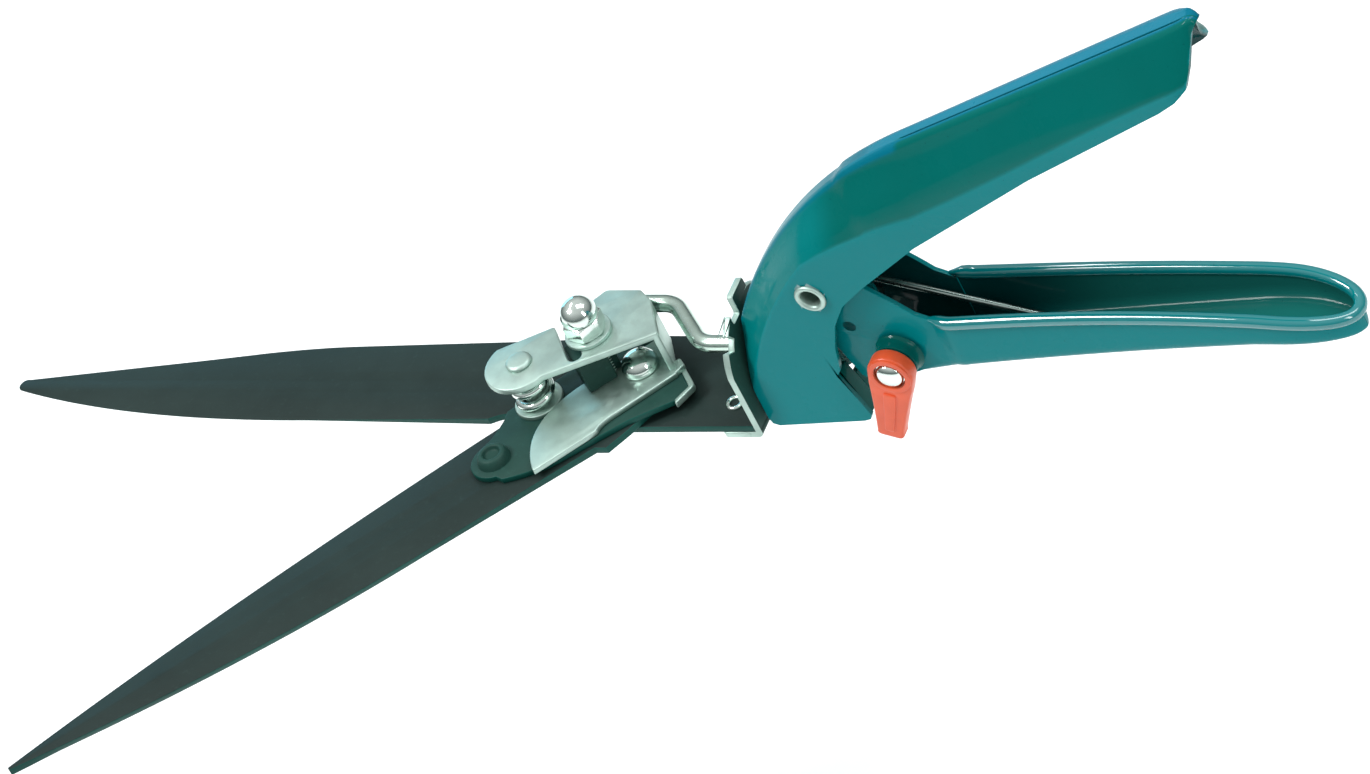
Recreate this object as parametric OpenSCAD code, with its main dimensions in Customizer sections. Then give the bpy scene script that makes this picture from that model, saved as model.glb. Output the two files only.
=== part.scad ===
// One-hand grass shears: two pressed-steel handles squeeze together on an eyelet and pull a rod,
// the rod turns the moving blade about its bolt, and the whole head turns about the rod's axis.
// Tool frame: X runs along the turning axis from the blade bolt to the grips, Z is up.
// place() then puts the origin in the middle of the hollow handle eyelet.

/* [Blades] */
// Distance from the blade bolt to the blade tips
blade_reach = 163; // [150:1:175]
// Thickness of each blade
blade_t = 1.8; // [1.4:0.1:2]
// Angle between the blades with the handles released
open_angle = 45.6; // [40:0.1:46]

/* [Handles] */
// Distance along the tool from the blade bolt to the handle eyelet
pivot_x = 59.5; // [59:0.1:60]
// Height of the handle eyelet above the turning axis
pivot_z = 25; // [24.8:0.1:25.2]
// Half of the upper handle's outer width
upper_half_w = 10; // [9.8:0.1:10.4]
// Sheet thickness of both handles
sheet = 1.2; // [1:0.1:1.2]
// Half of the lower handle's outer width at its front
lower_half_w = 8; // [7.8:0.1:8.1]

/* [Rod] */
// Diameter of the pull rod
rod_d = 4; // [3.6:0.1:4]
// Sideways offset of the rod beside the blade bolt
rod_offset = 12.1; // [12:0.1:12.2]
// Rod travel over the whole squeeze
rod_stroke = 10.2; // [9.6:0.1:10.2]

/* [Lock lever] */
// Length of the lever below its screw
lever_len = 20.5; // [16:0.5:22]
// Thickness of the lever
lever_t = 3.4; // [2.5:0.1:4]

/* [Hidden] */
$fn = 48;

// Levels of the blade pack, in the tool frame
fixed_top = -12;
slide_gap = 0.1;
moving_top = fixed_top + slide_gap + blade_t;
carrier_t = 1.5;
carrier_top = moving_top + carrier_t;
leaf_t = 1.4;
leaf_top = carrier_top + leaf_t;
arm_bottom = 2.4;
arm_top = 4;
fit = 0.05;
bolt_r = 3;
post = [-22.3, 9.4];
adjuster = [-6.1, 5.4];

// Front plate and bearing plate along X
front_x = 31.2;
front_t = 1.6;
bearing_x = 33.6;
bearing_t = 1.6;
tube_r = 3.6;
tube_bore = rod_d / 2 + fit;
shell_front = 33.4;

// Crest of the upper handle: an arc that runs into a straight line
crest_r = 126;
crest_slope = 23.3;
crest_join = [92, 63.5];
crest_centre = [crest_join[0] + crest_r * sin(crest_slope), crest_join[1] - crest_r * cos(crest_slope)];

// Cheeks of the lower handle, either side of the eyelet
cheek_out = lower_half_w - 0.8;
cheek_in = cheek_out - sheet;

// Lock lever pivot in the tool frame
lever_at = [72.7, 5.6];
lever_lean = 21.5;

module place() translate([-pivot_x, 0, -pivot_z]) children();
module on_moving() place() rotate([0, 0, open_angle]) children();
// Extrudes an outline drawn in X and Z sideways, from y0 to y1
module slab_y(y0, y1) translate([0, y1, 0]) rotate([90, 0, 0]) linear_extrude(y1 - y0) children();
module both_sides() { children(); mirror([0, 1, 0]) children(); }
module pin_z(r, z0, z1) translate([0, 0, z0]) cylinder(r = r, h = z1 - z0);
module pin_y(r, y0, y1) translate([0, y1, 0]) rotate([90, 0, 0]) cylinder(r = r, h = y1 - y0);
module pin_x(r, x0, x1) translate([x0, 0, 0]) rotate([0, 90, 0]) cylinder(r = r, h = x1 - x0);
// Straight round bar between two points
module bar(a, b, r) {
    d = b - a;
    translate(a) rotate([0, acos(d[2] / norm(d)), atan2(d[1], d[0])]) cylinder(r = r, h = norm(d));
}

function lerp(a, b, t) = a + (b - a) * t;
function bezier(a, b, c, n) = [for (i = [0:n]) let (t = i / n) lerp(lerp(a, b, t), lerp(b, c, t), t)];
function arc(c, r, a0, a1, n) = [for (i = [0:n]) let (a = lerp(a0, a1, i / n)) c + r * [cos(a), sin(a)]];
// Side faces and end caps of a solid made of equal closed rings
function ring_faces(rings, n) = concat(
    [for (i = [0:rings - 2], j = [0:n - 1]) [i * n + j, i * n + (j + 1) % n, (i + 1) * n + j]],
    [for (i = [0:rings - 2], j = [0:n - 1])
        [i * n + (j + 1) % n, (i + 1) * n + (j + 1) % n, (i + 1) * n + j]],
    [[for (j = [n - 1:-1:0]) j]],
    [[for (j = [0:n - 1]) (rings - 1) * n + j]]);

// ---- Upper handle ----
// Half section as shares of [half width, shoulder depth]
crown = [[0.25, 0], [0.36, 0.03], [0.42, 0.08], [0.86, 0.75], [0.94, 0.9], [0.985, 1.05], [1, 1.25]];
skirt_depth = 70;
grip_end = 182;
arc_steps = 9;
// Station: [point on the crest, slope, shoulder depth]
function crest_stations() = concat(
    [for (i = [0:arc_steps]) let (a = lerp(78, crest_slope, i / arc_steps))
        [crest_centre + crest_r * [-sin(a), cos(a)], a, i < 6 ? 7.2 : lerp(7.2, 15, (i - 6) / 3)]],
    [[crest_join + (grip_end - crest_join[0]) * [1, tan(crest_slope)], crest_slope, 13]]);
function crown_ring(s, inset) = let (
        w = upper_half_w - inset,
        right = concat([for (c = crown) [c[0] * w, inset + c[1] * s[2]]], [[w, skirt_depth]]),
        n = len(right),
        half = concat([for (i = [0:n - 1]) right[i]], [for (i = [n - 1:-1:0]) [-right[i][0], right[i][1]]]))
    [for (p = half) [s[0][0] + p[1] * sin(s[1]), p[0], s[0][1] - p[1] * cos(s[1])]];
module crown_solid(inset) {
    rings = [for (s = crest_stations()) crown_ring(s, inset)];
    polyhedron(points = [for (r = rings, p = r) p], faces = ring_faces(len(rings), len(rings[0])));
}
module upper_side_outline() polygon(concat(
    [[shell_front, 70], [shell_front, -13]],
    arc([shell_front + 2.2, -13], 2.2, 180, 265, 4),
    [[57, -13.6]],
    arc([57.4, -11.6], 2, 270, 350, 4),
    [[57.4, -5], [55.8, 0.2], [57.6, 2]],
    bezier([59.2, 11.2], [62.4, 21], [72.8, 27.4], 6),
    bezier([90.4, 39.7], [125, 60.2], [164.5, 79.6], 4),
    bezier([168.5, 82.2], [174.6, 86.2], [176.4, 95.2], 5),
    [[180.4, 98.6], [180, 115], [60, 115]]));
module upper_handle() color("teal") place() difference() {
    union() {
        intersection() {
            difference() { crown_solid(0); crown_solid(sheet); }
            slab_y(-20, 20) upper_side_outline();
        }
        // Inward flanges along the rear edge of the nose
        both_sides() {
            slab_y(5, upper_half_w - sheet + 0.1)
                polygon([[55.8, 0.2], [57.4, -5], [59.3, -11.9], [58.1, -12.2], [56.2, -5.2], [54.6, -0.1]]);
            slab_y(3, 5.1) polygon([[57, -3.7], [57.4, -5], [59.3, -11.9], [58.1, -12.2], [56.2, -5.2], [55.7, -3.7]]);
        }
    }
    translate([pivot_x, 0, pivot_z]) pin_y(2.95, -20, 20);
}
module bearing_plate() color("darkslategray") place() difference() {
    translate([bearing_x, 0, 0]) rotate([90, 0, 90]) linear_extrude(bearing_t)
        polygon(concat([[-8.78, -13.2], [8.78, -13.2], [8.78, -8], [7.7, -4]],
            arc([0, 0.6], 6.4, 0, 180, 10), [[-7.7, -4], [-8.78, -8]]));
    pin_x(tube_r + fit, 30, 40);
    translate([0, 0, -9]) pin_x(1.2, 30, 40);
    translate([0, 5.4, -9]) pin_x(1.2, 30, 40);
}
module pivot_eyelet() color("silver") place() translate([pivot_x, 0, pivot_z]) difference() {
    union() {
        pin_y(2.9, -11, 11);
        both_sides() pin_y(3.7, upper_half_w, upper_half_w + 0.9);
    }
    pin_y(2.2, -20, 20);
}
module spring_spool() color("gray") place() translate([pivot_x, 0, pivot_z]) difference() {
    pin_y(4, 0.1 - cheek_in, cheek_in - 0.1);
    pin_y(2.95, -20, 20);
}

// ---- Springs ----
coil_r = 5.1;
coil_wire = 1.6;
module return_spring() color("dimgray") place() translate([pivot_x, 0, pivot_z]) {
    for (k = [-2:2]) translate([0, k * (coil_wire + 0.2), 0]) rotate([90, 0, 0])
        rotate_extrude() translate([coil_r, 0]) circle(d = coil_wire, $fn = 16);
    bar([-1.6, 3.2, -4.85], [45.4, 3.2, -20.2], coil_wire / 2);
    bar([-2.7, -3.2, 4.3], [31, -3.2, 33], coil_wire / 2);
}
module index_spring() color("silver") place() {
    translate([bearing_x + bearing_t, -2.6, -12.4]) cube([0.6, 10.4, 6.6]);
    translate([0, 5.4, -9]) pin_x(1.1, bearing_x - 0.1, bearing_x + bearing_t);
}
module index_rivet() color("silver") place() translate([0, 0, -9]) {
    pin_x(1.15, bearing_x, bearing_x + bearing_t);
    pin_x(1.9, bearing_x + bearing_t + 0.6, bearing_x + bearing_t + 1.3);
}

// ---- Turning head ----
foot_t = 1.6;
foot_top = fixed_top - blade_t;
plate_half_w = 13.5;
module front_plate() color("silver") place() difference() {
    union() {
        translate([front_x, 0, 0]) rotate([90, 0, 90]) linear_extrude(front_t)
            polygon(concat([[-plate_half_w, foot_top - foot_t], [plate_half_w, foot_top - foot_t]],
                arc([0, 0], 13.9, 12, 168, 24)));
        translate([0, 0, foot_top - foot_t]) linear_extrude(foot_t)
            polygon([[front_x + 0.4, -plate_half_w], [23.5, -plate_half_w], [20.6, -10.5], [20.6, 10.5],
                [23.5, plate_half_w], [front_x + 0.4, plate_half_w]]);
        translate([front_x, -1.2, 12.6]) cube([front_t, 6.4, 3.2]);
    }
    translate([front_x - 1, -4.6, 10.2]) cube([4, 3.4, 8]);
    for (a = [45, 135]) rotate([a - 90, 0, 0]) translate([front_x - 1, -1.7, 11.2]) cube([4, 3.4, 8]);
    pin_x(tube_r, 30, 34);
    for (y = [-1, 1]) translate([24.2, y * 6.5, 0]) pin_z(1.9, -20, -10);
}
module swivel_tube() color("silver") place() difference() {
    union() {
        pin_x(tube_r, front_x, 38.6);
        pin_x(4.6, front_x - 0.9, front_x);
    }
    pin_x(tube_bore, 20, 50);
    translate([front_x - 1, 0, 0]) rotate([0, 90, 0]) cylinder(r1 = tube_bore + 0.7, r2 = tube_bore, h = 3.4);
    difference() { pin_x(6, 36.1, 37); pin_x(3, 36, 37.1); }
}
module retaining_ring() color("silver") place() difference() {
    pin_x(5.4, 36.15, 36.95);
    pin_x(3, 36, 37.1);
}
module fixed_blade_outline() polygon(concat(
    [[front_x, -13.3], [front_x, 13.4], [0, 13.8], [-37, 12.2]],
    bezier([-80, 10.9], [-130, 8.6], [2.4 - blade_reach, 2], 8),
    arc([1.8 - blade_reach, 0.2], 1.8, 100, 250, 4),
    bezier([2.6 - blade_reach, -2.2], [-128, -12.1], [-84, -11.7], 8),
    [[-36.5, -11.2], [-33, -9.6], [-22, -9.6], [-12, -13.2], [0, -13.6]]));
module fixed_blade() color("darkslategray") place() difference() {
    translate([0, 0, fixed_top - blade_t]) linear_extrude(blade_t) fixed_blade_outline();
    pin_z(bolt_r, -20, -10);
    for (y = [-1, 1]) translate([24.2, y * 6.5, 0]) pin_z(1.9, -20, -10);
}
module tang_rivets() color("silver") place() for (y = [-1, 1]) translate([24.2, y * 6.5, 0]) difference() {
    union() {
        pin_z(1.9, foot_top - foot_t - 0.6, fixed_top + 0.6);
        pin_z(3, foot_top - foot_t - 0.7, foot_top - foot_t);
        pin_z(2.2, fixed_top, fixed_top + 0.7);
    }
    pin_z(1.2, -20, -10);
}
module pivot_bolt() color("silver") place() {
    pin_z(bolt_r, -19.4, leaf_top + 0.3);
    translate([0, 0, leaf_top + 0.1]) rotate_extrude() polygon(concat([[0, 0]],
        [for (a = [0:15:90]) [4.3 * cos(a), 0.7 + 3.1 * sin(a)]], [[0, 3.8]]));
    pin_z(4.3, leaf_top + 0.1, leaf_top + 0.8);
}
module bolt_washer() color("silver") place() difference() {
    pin_z(5.6, foot_top - 1, foot_top);
    pin_z(bolt_r, -20, -10);
}
module pivot_nut() color("silver") place() difference() {
    translate([0, 0, foot_top - 5]) cylinder(r = 5.6, h = 4, $fn = 6);
    pin_z(bolt_r, -20, -10);
}

// ---- Moving blade assembly, drawn closed and turned open about the bolt ----
slot_r0 = norm([rod_stroke / 2, rod_offset]);
slot_dir = atan2(rod_offset, rod_stroke / 2);
pin_r = 1.5;
module rod_slot() hull() for (r = [-1.5, 0.5]) rotate(slot_dir) translate([slot_r0 + r, 0]) circle(pin_r + 0.2, $fn = 32);
module moving_blade() color("darkslategray") on_moving() difference() {
    translate([0, 0, fixed_top + slide_gap]) linear_extrude(blade_t) polygon(concat(
        [[6.6, -4.5], [6.6, 4.5], [2, 9.5], [-12, 11.4], [-30, 11.3]],
        bezier([-39, 11], [-110, 8], [-blade_reach, 0.2], 10),
        bezier([-blade_reach, -0.8], [-108, -11.7], [-62, -11.7], 8),
        [[-18.5, -11.8], [-16.4, -13.9], [-9.9, -12.5], [0, -9.6]]));
    pin_z(bolt_r + fit, -20, 0);
    translate([-37.8, 1, 0]) pin_z(2.2, -20, 0);
}
module carrier_outline() polygon(concat(
    [[6.8, -4.5], [5.9, -12.6], [1.5, -14.1], [-9, -11.6], [-32.7, -10.3]],
    arc([-37.8, 1], 5.6, 235, 110, 10),
    [[-31, 10.9], [-29.4, 12.8], [-14, 13.3], [-2, 13]],
    arc([6, 13.1], 3.6, 130, 0, 8),
    [[7, 6]]));
module carrier_plate() color("darkslategray") on_moving() difference() {
    translate([0, 0, moving_top]) linear_extrude(carrier_t) difference() {
        carrier_outline();
        rod_slot();
    }
    pin_z(bolt_r + fit, -20, 0);
    translate([-37.8, 1, 0]) pin_z(2.2, -20, 0);
    translate([post[0], post[1], 0]) pin_z(2.5, -20, 0);
}
module carrier_rivet() color("darkslategray") on_moving() translate([-37.8, 1, 0]) {
    pin_z(2.2, fixed_top + slide_gap + 0.1, carrier_top);
    translate([0, 0, carrier_top]) cylinder(r1 = 3.9, r2 = 3.3, h = 1.8);
    translate([0, 0, carrier_top + 1.8]) cylinder(r1 = 3.3, r2 = 2.4, h = 0.6);
}
arm_near_right = [5.9, -6.9];
arm_far_right = [9.1, 4.3];
module arm_outline() difference() {
    polygon(concat(
        [arm_near_right, arm_far_right, [8.7, 9], [2.6, 15.2], [-1.4, 14.6], [-10.3, 13.5]],
        arc(post, 8.2, 106, 286, 14)));
    hull() {
        translate([-11.6, 1.6]) circle(1.7, $fn = 32);
        translate([-9.3, 16]) circle(1.7, $fn = 32);
    }
}
module leaf_outline() polygon(concat(
    [[5.2, -8.2], [-14.2, -8.9], [-17, -10.6], [-32.5, -11]],
    bezier([-32.4, -9.6], [-29, 4.6], [-13, 5.5], 8),
    [[7, 5.4], [8, 4.3], [5.9, -6.9]]));
web_t = 1.5;
module web_outline() polygon([arm_near_right, arm_far_right, arm_far_right - [web_t, -0.4],
    arm_near_right - [web_t, -0.4]]);
module tail_lip_outline() polygon([[7.9, -4.4], [7.2, -13.3], [1.2, -15.4], [1.7, -14.1], [5.9, -12.6],
    [6.8, -4.5]]);
module bridge_bracket() color("silver") on_moving() difference() {
    union() {
        translate([0, 0, carrier_top]) linear_extrude(leaf_t) leaf_outline();
        translate([0, 0, arm_bottom]) linear_extrude(arm_top - arm_bottom) arm_outline();
        translate([0, 0, carrier_top]) linear_extrude(arm_top - carrier_top) web_outline();
        translate([0, 0, moving_top]) linear_extrude(2.6) tail_lip_outline();
        translate([0, 0, carrier_top]) linear_extrude(leaf_t) polygon([[5.2, -8], [7.9, -7], [7.9, -4.4], [5.5, -4]]);
    }
    pin_z(bolt_r + fit, -20, 0);
    translate([adjuster[0], adjuster[1], 0]) pin_z(2.5, 0, 10);
    translate([post[0], post[1], 0]) pin_z(2.5, 0, 10);
}
module bridge_post() color("silver") on_moving() translate([post[0], post[1], 0]) {
    pin_z(2.5, moving_top, arm_top + 0.2);
    translate([0, 0, arm_top]) rotate_extrude() polygon([[0, 0], [3, 0], [2.9, 0.5], [2.4, 0.95], [0, 1.1]]);
}
module post_washer() color("silver") on_moving() translate([post[0], post[1], 0]) difference() {
    pin_z(5.6, carrier_top, carrier_top + 1.2);
    pin_z(2.5, -20, 10);
}
spring_wire = 2.2;
spring_turns = 4;
module post_spring() color("silver") on_moving() translate([post[0], post[1], carrier_top + 1.2]) {
    pitch = (arm_bottom - carrier_top - 1.2 - spring_wire) / (spring_turns - 1);
    for (k = [0:spring_turns - 1]) translate([0, 0, spring_wire / 2 + k * pitch])
        rotate_extrude() translate([3.9, 0]) circle(d = spring_wire - 0.06, $fn = 16);
}
module bridge_spacer() color("darkslategray") on_moving() translate([adjuster[0], adjuster[1], 0]) difference() {
    translate([0, 0, carrier_top]) linear_extrude(arm_bottom - carrier_top)
        polygon([[-6.2, -4.3], [0.8, -4.3], [0.8, -2], [3, -2], [3, 2.7], [-6.2, 2.7]]);
    translate([-7, -5.6, carrier_top - 1]) cube([20, 6, leaf_t + 1]);
    pin_z(2.5, -20, 10);
}
nut_base = arm_top + 1;
module adjuster_bolt() color("silver") on_moving() translate([adjuster[0], adjuster[1], 0])
    pin_z(2.5, leaf_top, nut_base + 3);
module adjuster_washer() color("silver") on_moving() translate([adjuster[0], adjuster[1], 0]) difference() {
    pin_z(5.4, arm_top, nut_base);
    pin_z(2.5, -20, 10);
}
module acorn_nut() color("silver") on_moving() translate([adjuster[0], adjuster[1], nut_base]) difference() {
    union() {
        cylinder(r = 4.7, h = 4, $fn = 6);
        pin_z(3.5, 0, 5.4);
        translate([0, 0, 5.2]) sphere(r = 4);
    }
    pin_z(2.5, -1, 3);
    translate([-6, -6, -2]) cube([12, 12, 2]);
}

// ---- Pull rod, drawn with the handles released ----
rod_r = rod_d / 2;
pin_x0 = -rod_stroke / 2;
bend_a = [7.1, rod_offset, 0];
bend_b = [18.2, 0, 0];
bend_len = 3.2;
bend_run = bend_len * (bend_a - bend_b) / norm(bend_a - bend_b);
yoke_x = pivot_x - rod_stroke / 2;
rod_end = yoke_x + 7.2;
rod_sides = 24;
// From the yoke forwards, sideways round the blade bolt, then down into the carrier's slot
rod_path = concat(
    [[rod_end, 0, 0]],
    bezier(bend_b + [bend_len, 0, 0], bend_b, bend_b + bend_run, 6),
    bezier(bend_a - bend_run, bend_a, bend_a - [bend_len, 0, 0], 6),
    bezier([pin_x0 + 2.2, rod_offset, 0], [pin_x0, rod_offset, 0], [pin_x0, rod_offset, -2.4], 6),
    [[pin_x0, rod_offset, moving_top + 0.2]]);
rod_level = 15;
module pull_rod() color("silver") place() {
    n = len(rod_path);
    rings = [for (i = [0:n - 1]) let (
            d = rod_path[min(i + 1, n - 1)] - rod_path[max(i - 1, 0)],
            f = d / norm(d),
            s = i < rod_level ? cross(f, [0, 0, 1]) / norm(cross(f, [0, 0, 1])) : [0, 1, 0],
            u = cross(s, f),
            r = i < n - 3 ? rod_r : pin_r)
        [for (j = [0:rod_sides - 1]) let (a = 360 * j / rod_sides)
            rod_path[i] + r * (cos(a) * s + sin(a) * u)]];
    polyhedron(points = [for (r = rings, p = r) p], faces = ring_faces(n, rod_sides));
}
collar_gap = 3.2;
module rod_collars() color("silver") place() for (x = [yoke_x - collar_gap - 1.8, yoke_x + collar_gap])
    difference() {
        pin_x(3.9, x, x + 1.8);
        pin_x(rod_r, x - 1, x + 3);
    }

// ---- Lower handle ----
// Station: [x, bottom height, rim height, half width]
shell_half_w = lower_half_w - 0.1;
shell_inset = sheet - 0.2;
lower_stations = concat(
    [for (x = [64, 72, 80, 88]) let (u = (x - 64) / 24)
        [x, lerp(-4.2, 0.2, u), lerp(16.9, 14.4, u), shell_half_w]],
    [for (x = [98:10:158]) let (u = (x - 88) / 70)
        [x, 0.2 + 7.2 * u - 1.2 * u * u, 14.4 + 2.6 * sin(u * 140), shell_half_w - 0.3 * sin(u * 180)]],
    [for (a = [0:15:75]) [164 + 18 * sin(a), 6.4 - 0.2 * sin(a), 15.6 - 3.2 * sin(a) * sin(a),
        shell_half_w * pow(cos(a), 0.8)]]);
floor_round = [[0.55, 0], [0.8, 0.35], [0.94, 1.3], [1, 2.8]];
function lower_ring(s, inset, lift) = let (
        w = max(s[3] - inset, 0.3),
        right = concat([for (c = floor_round) [c[0] * w, s[1] + inset + c[1]]], [[w, s[2] + lift]]),
        n = len(right),
        half = concat([for (i = [n - 1:-1:0]) right[i]], [for (i = [0:n - 1]) [-right[i][0], right[i][1]]]))
    [for (p = half) [s[0], p[0], p[1]]];
function shifted(s, dx) = [s[0] + dx, s[1], s[2], s[3]];
module lower_solid(inset, lift, dx) {
    rings = [for (s = lower_stations) lower_ring(shifted(s, dx * (s[0] - 64) / 116), inset, lift)];
    polyhedron(points = [for (r = rings, p = r) p], faces = ring_faces(len(rings), len(rings[0])));
}
rim_r = 1.5;
rim_sides = 8;
// Rim path along the far side, round the end and back along the near side
rim_half = [for (s = lower_stations) if (s[0] > 83) [s[0], s[3] - 0.3, s[2]]];
rim_last = rim_half[len(rim_half) - 1];
rim_path = concat(rim_half, [[rim_last[0] + 0.7, 0, rim_last[2] - 0.2]],
    [for (i = [len(rim_half) - 1:-1:0]) [rim_half[i][0], -rim_half[i][1], rim_half[i][2]]]);
module rim_tube() {
    n = len(rim_path);
    rings = [for (i = [0:n - 1]) let (
            d = rim_path[min(i + 1, n - 1)] - rim_path[max(i - 1, 0)],
            f = d / norm(d),
            s = cross(f, [0, 0, 1]) / norm(cross(f, [0, 0, 1])),
            u = cross(s, f))
        [for (j = [0:rim_sides - 1]) let (a = 360 * j / rim_sides)
            rim_path[i] + rim_r * (cos(a) * s + sin(a) * u)]];
    polyhedron(points = [for (r = rings, p = r) p], faces = ring_faces(n, rim_sides));
}
module lower_side_outline() polygon(concat(
    arc([pivot_x, pivot_z], 5.8, 60, 190, 12),
    [[53, 14], [58.5, 5.5], [64, 0.2], [72, -2.8], [88, 0.6], [88, 14], [83.5, 14.6]],
    bezier([80, 16.4], [74, 23], [65, 29.4], 5)));
module lower_handle() color("teal") place() difference() {
    union() {
        intersection() {
            difference() {
                lower_solid(0, 0, 0);
                lower_solid(shell_inset, 30, -shell_inset);
            }
            translate([66, -30, -30]) cube([200, 60, 100]);
        }
        both_sides() slab_y(cheek_in, cheek_out) lower_side_outline();
        rim_tube();
    }
    translate([pivot_x, 0, pivot_z]) pin_y(2.95, -20, 20);
    translate([lever_at[0], 0, lever_at[1]]) pin_y(2, -20, 0);
    for (p = yoke_holes) translate([p[0], 0, p[1]]) pin_y(1.5, -20, 20);
}
yoke_holes = [[57.5, 14.5], [63, 13]];
squeeze_half = asin(rod_stroke / 2 / pivot_z);
yoke_c = [yoke_x, pivot_z - pivot_z * cos(squeeze_half)];
yoke_t = 1.9;
module yoke_local() translate([yoke_c[0], 0, yoke_c[1]]) rotate([0, squeeze_half, 0]) children();
module pull_yoke() color("gray") place() difference() {
    union() {
        both_sides() {
            yoke_local() {
                pin_y(3, 2.2, 4.2);
                translate([-1.8, 2.2, 0]) cube([3.6, 2, 9]);
            }
            slab_y(cheek_in - yoke_t, cheek_in)
                polygon([[52.6, 7], [58.6, 6], [65.6, 10.4], [65.2, 15.6], [56, 17.2]]);
        }
        yoke_local() translate([-3, -cheek_in, 7]) cube([6, 2 * cheek_in, 2.4]);
    }
    for (p = yoke_holes) translate([p[0], 0, p[1]]) pin_y(1.5, -20, 20);
}
module yoke_rivets() color("silver") place() for (p = yoke_holes) translate([p[0], 0, p[1]]) both_sides() {
    pin_y(1.5, cheek_in - yoke_t, cheek_out);
    pin_y(2.4, cheek_in - yoke_t - 0.7, cheek_in - yoke_t);
}

// ---- Lock lever and its screw, on the near side ----
boss_h = 3.1;
boss_r = 5.2;
screw_r = 2;
lever_y0 = -lower_half_w - boss_h - 0.4;
module at_lever() place() translate([lever_at[0], 0, lever_at[1]]) children();
module lever_boss() color("teal") at_lever() difference() {
    pin_y(boss_r, -lower_half_w - boss_h, -shell_half_w);
    pin_y(screw_r, -30, 0);
}
module lever_washer() color("silver") at_lever() difference() {
    pin_y(4, lever_y0, lever_y0 + 0.4);
    pin_y(screw_r, -30, 0);
}
module lock_lever() color("orangered") at_lever() rotate([0, lever_lean, 0]) difference() {
    slab_y(lever_y0 - lever_t - 0.1, lever_y0 - 0.1) polygon(concat(
        arc([0, 0], boss_r, -8, 188, 20),
        bezier([-4.9, -4], [-3.9, -10], [-3, -lever_len + 1.2], 4),
        arc([-2, -lever_len + 1.1], 1.1, 190, 270, 3),
        arc([2, -lever_len + 1.1], 1.1, 270, 350, 3),
        bezier([3, -lever_len + 1.2], [3.9, -10], [4.9, -4], 4)));
    pin_y(screw_r + fit, -30, 0);
    pin_y(3.7, lever_y0 - lever_t - 1, lever_y0 - lever_t + 1.1);
}
module lever_screw() color("silver") at_lever() {
    pin_y(screw_r, lever_y0 - lever_t + 1, -3.1);
    translate([0, lever_y0 - lever_t + 0.9, 0]) rotate([90, 0, 0]) rotate_extrude() polygon(concat([[0, 0]],
        [for (a = [0:15:90]) [3.4 * cos(a), 0.5 + 1.6 * sin(a)]]));
    pin_y(3.4, lever_y0 - lever_t + 0.4, lever_y0 - lever_t + 1);
}
module lever_nut() color("silver") at_lever() difference() {
    translate([0, -cheek_in, 0]) rotate([-90, 0, 0]) cylinder(r = 4, h = 2.6, $fn = 6);
    pin_y(screw_r, -30, 0);
}

upper_handle();
bearing_plate();
pivot_eyelet();
spring_spool();
return_spring();
index_spring();
index_rivet();
front_plate();
swivel_tube();
retaining_ring();
fixed_blade();
tang_rivets();
pivot_bolt();
bolt_washer();
pivot_nut();
moving_blade();
carrier_plate();
carrier_rivet();
bridge_bracket();
bridge_post();
post_washer();
post_spring();
bridge_spacer();
adjuster_bolt();
adjuster_washer();
acorn_nut();
pull_rod();
rod_collars();
lower_handle();
pull_yoke();
yoke_rivets();
lever_boss();
lever_screw();
lever_nut();
lever_washer();
lock_lever();
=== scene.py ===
import math

import bmesh
import bpy
from mathutils import Matrix, Vector


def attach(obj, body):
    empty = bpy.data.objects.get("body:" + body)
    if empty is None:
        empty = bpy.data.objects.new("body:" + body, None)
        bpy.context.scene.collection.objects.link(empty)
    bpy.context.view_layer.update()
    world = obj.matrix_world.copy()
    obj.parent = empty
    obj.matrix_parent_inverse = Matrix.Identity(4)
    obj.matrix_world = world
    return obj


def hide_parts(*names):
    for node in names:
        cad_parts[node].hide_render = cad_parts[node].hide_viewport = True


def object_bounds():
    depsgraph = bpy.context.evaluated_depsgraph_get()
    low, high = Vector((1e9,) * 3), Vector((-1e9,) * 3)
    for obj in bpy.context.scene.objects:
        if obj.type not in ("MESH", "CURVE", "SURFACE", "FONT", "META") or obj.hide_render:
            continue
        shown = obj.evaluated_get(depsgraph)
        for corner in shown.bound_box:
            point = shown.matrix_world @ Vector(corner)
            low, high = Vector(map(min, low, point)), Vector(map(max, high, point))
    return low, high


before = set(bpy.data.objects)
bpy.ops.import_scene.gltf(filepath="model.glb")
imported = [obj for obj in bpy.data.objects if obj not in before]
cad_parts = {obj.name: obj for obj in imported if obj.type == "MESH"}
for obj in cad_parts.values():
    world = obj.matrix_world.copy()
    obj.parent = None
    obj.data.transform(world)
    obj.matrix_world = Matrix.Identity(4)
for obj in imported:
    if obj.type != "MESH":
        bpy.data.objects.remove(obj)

CAD_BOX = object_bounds()

# The tool frame of the CAD source: millimetres, X along the turning axis from the blade bolt to the
# grips, Z up. The part's origin is the middle of the handle eyelet.
PIVOT = Vector((59.5, 0, 25))
OPEN = math.radians(45.6)
TOOL = Matrix.Scale(0.001, 4) @ Matrix.Translation(-PIVOT)
MOVING = TOOL @ Matrix.Rotation(OPEN, 4, "Z")

# Levels of the blade pack and the main fastener places
FIXED_TOP, BLADE_T = -12.0, 1.8
MOVING_BOTTOM = FIXED_TOP + 0.1
MOVING_TOP = MOVING_BOTTOM + BLADE_T
CARRIER_TOP = MOVING_TOP + 1.5
LEAF_TOP = CARRIER_TOP + 1.4
ARM_BOTTOM, ARM_TOP = 2.4, 4.0
POST = Vector((-22.3, 9.4, 0))
ADJUSTER = Vector((-6.1, 5.4, 0))
LEVER_AT = Vector((72.7, 0, 5.6))


def to(x, y, z):
    return Matrix.Translation((x, y, z))


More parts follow.
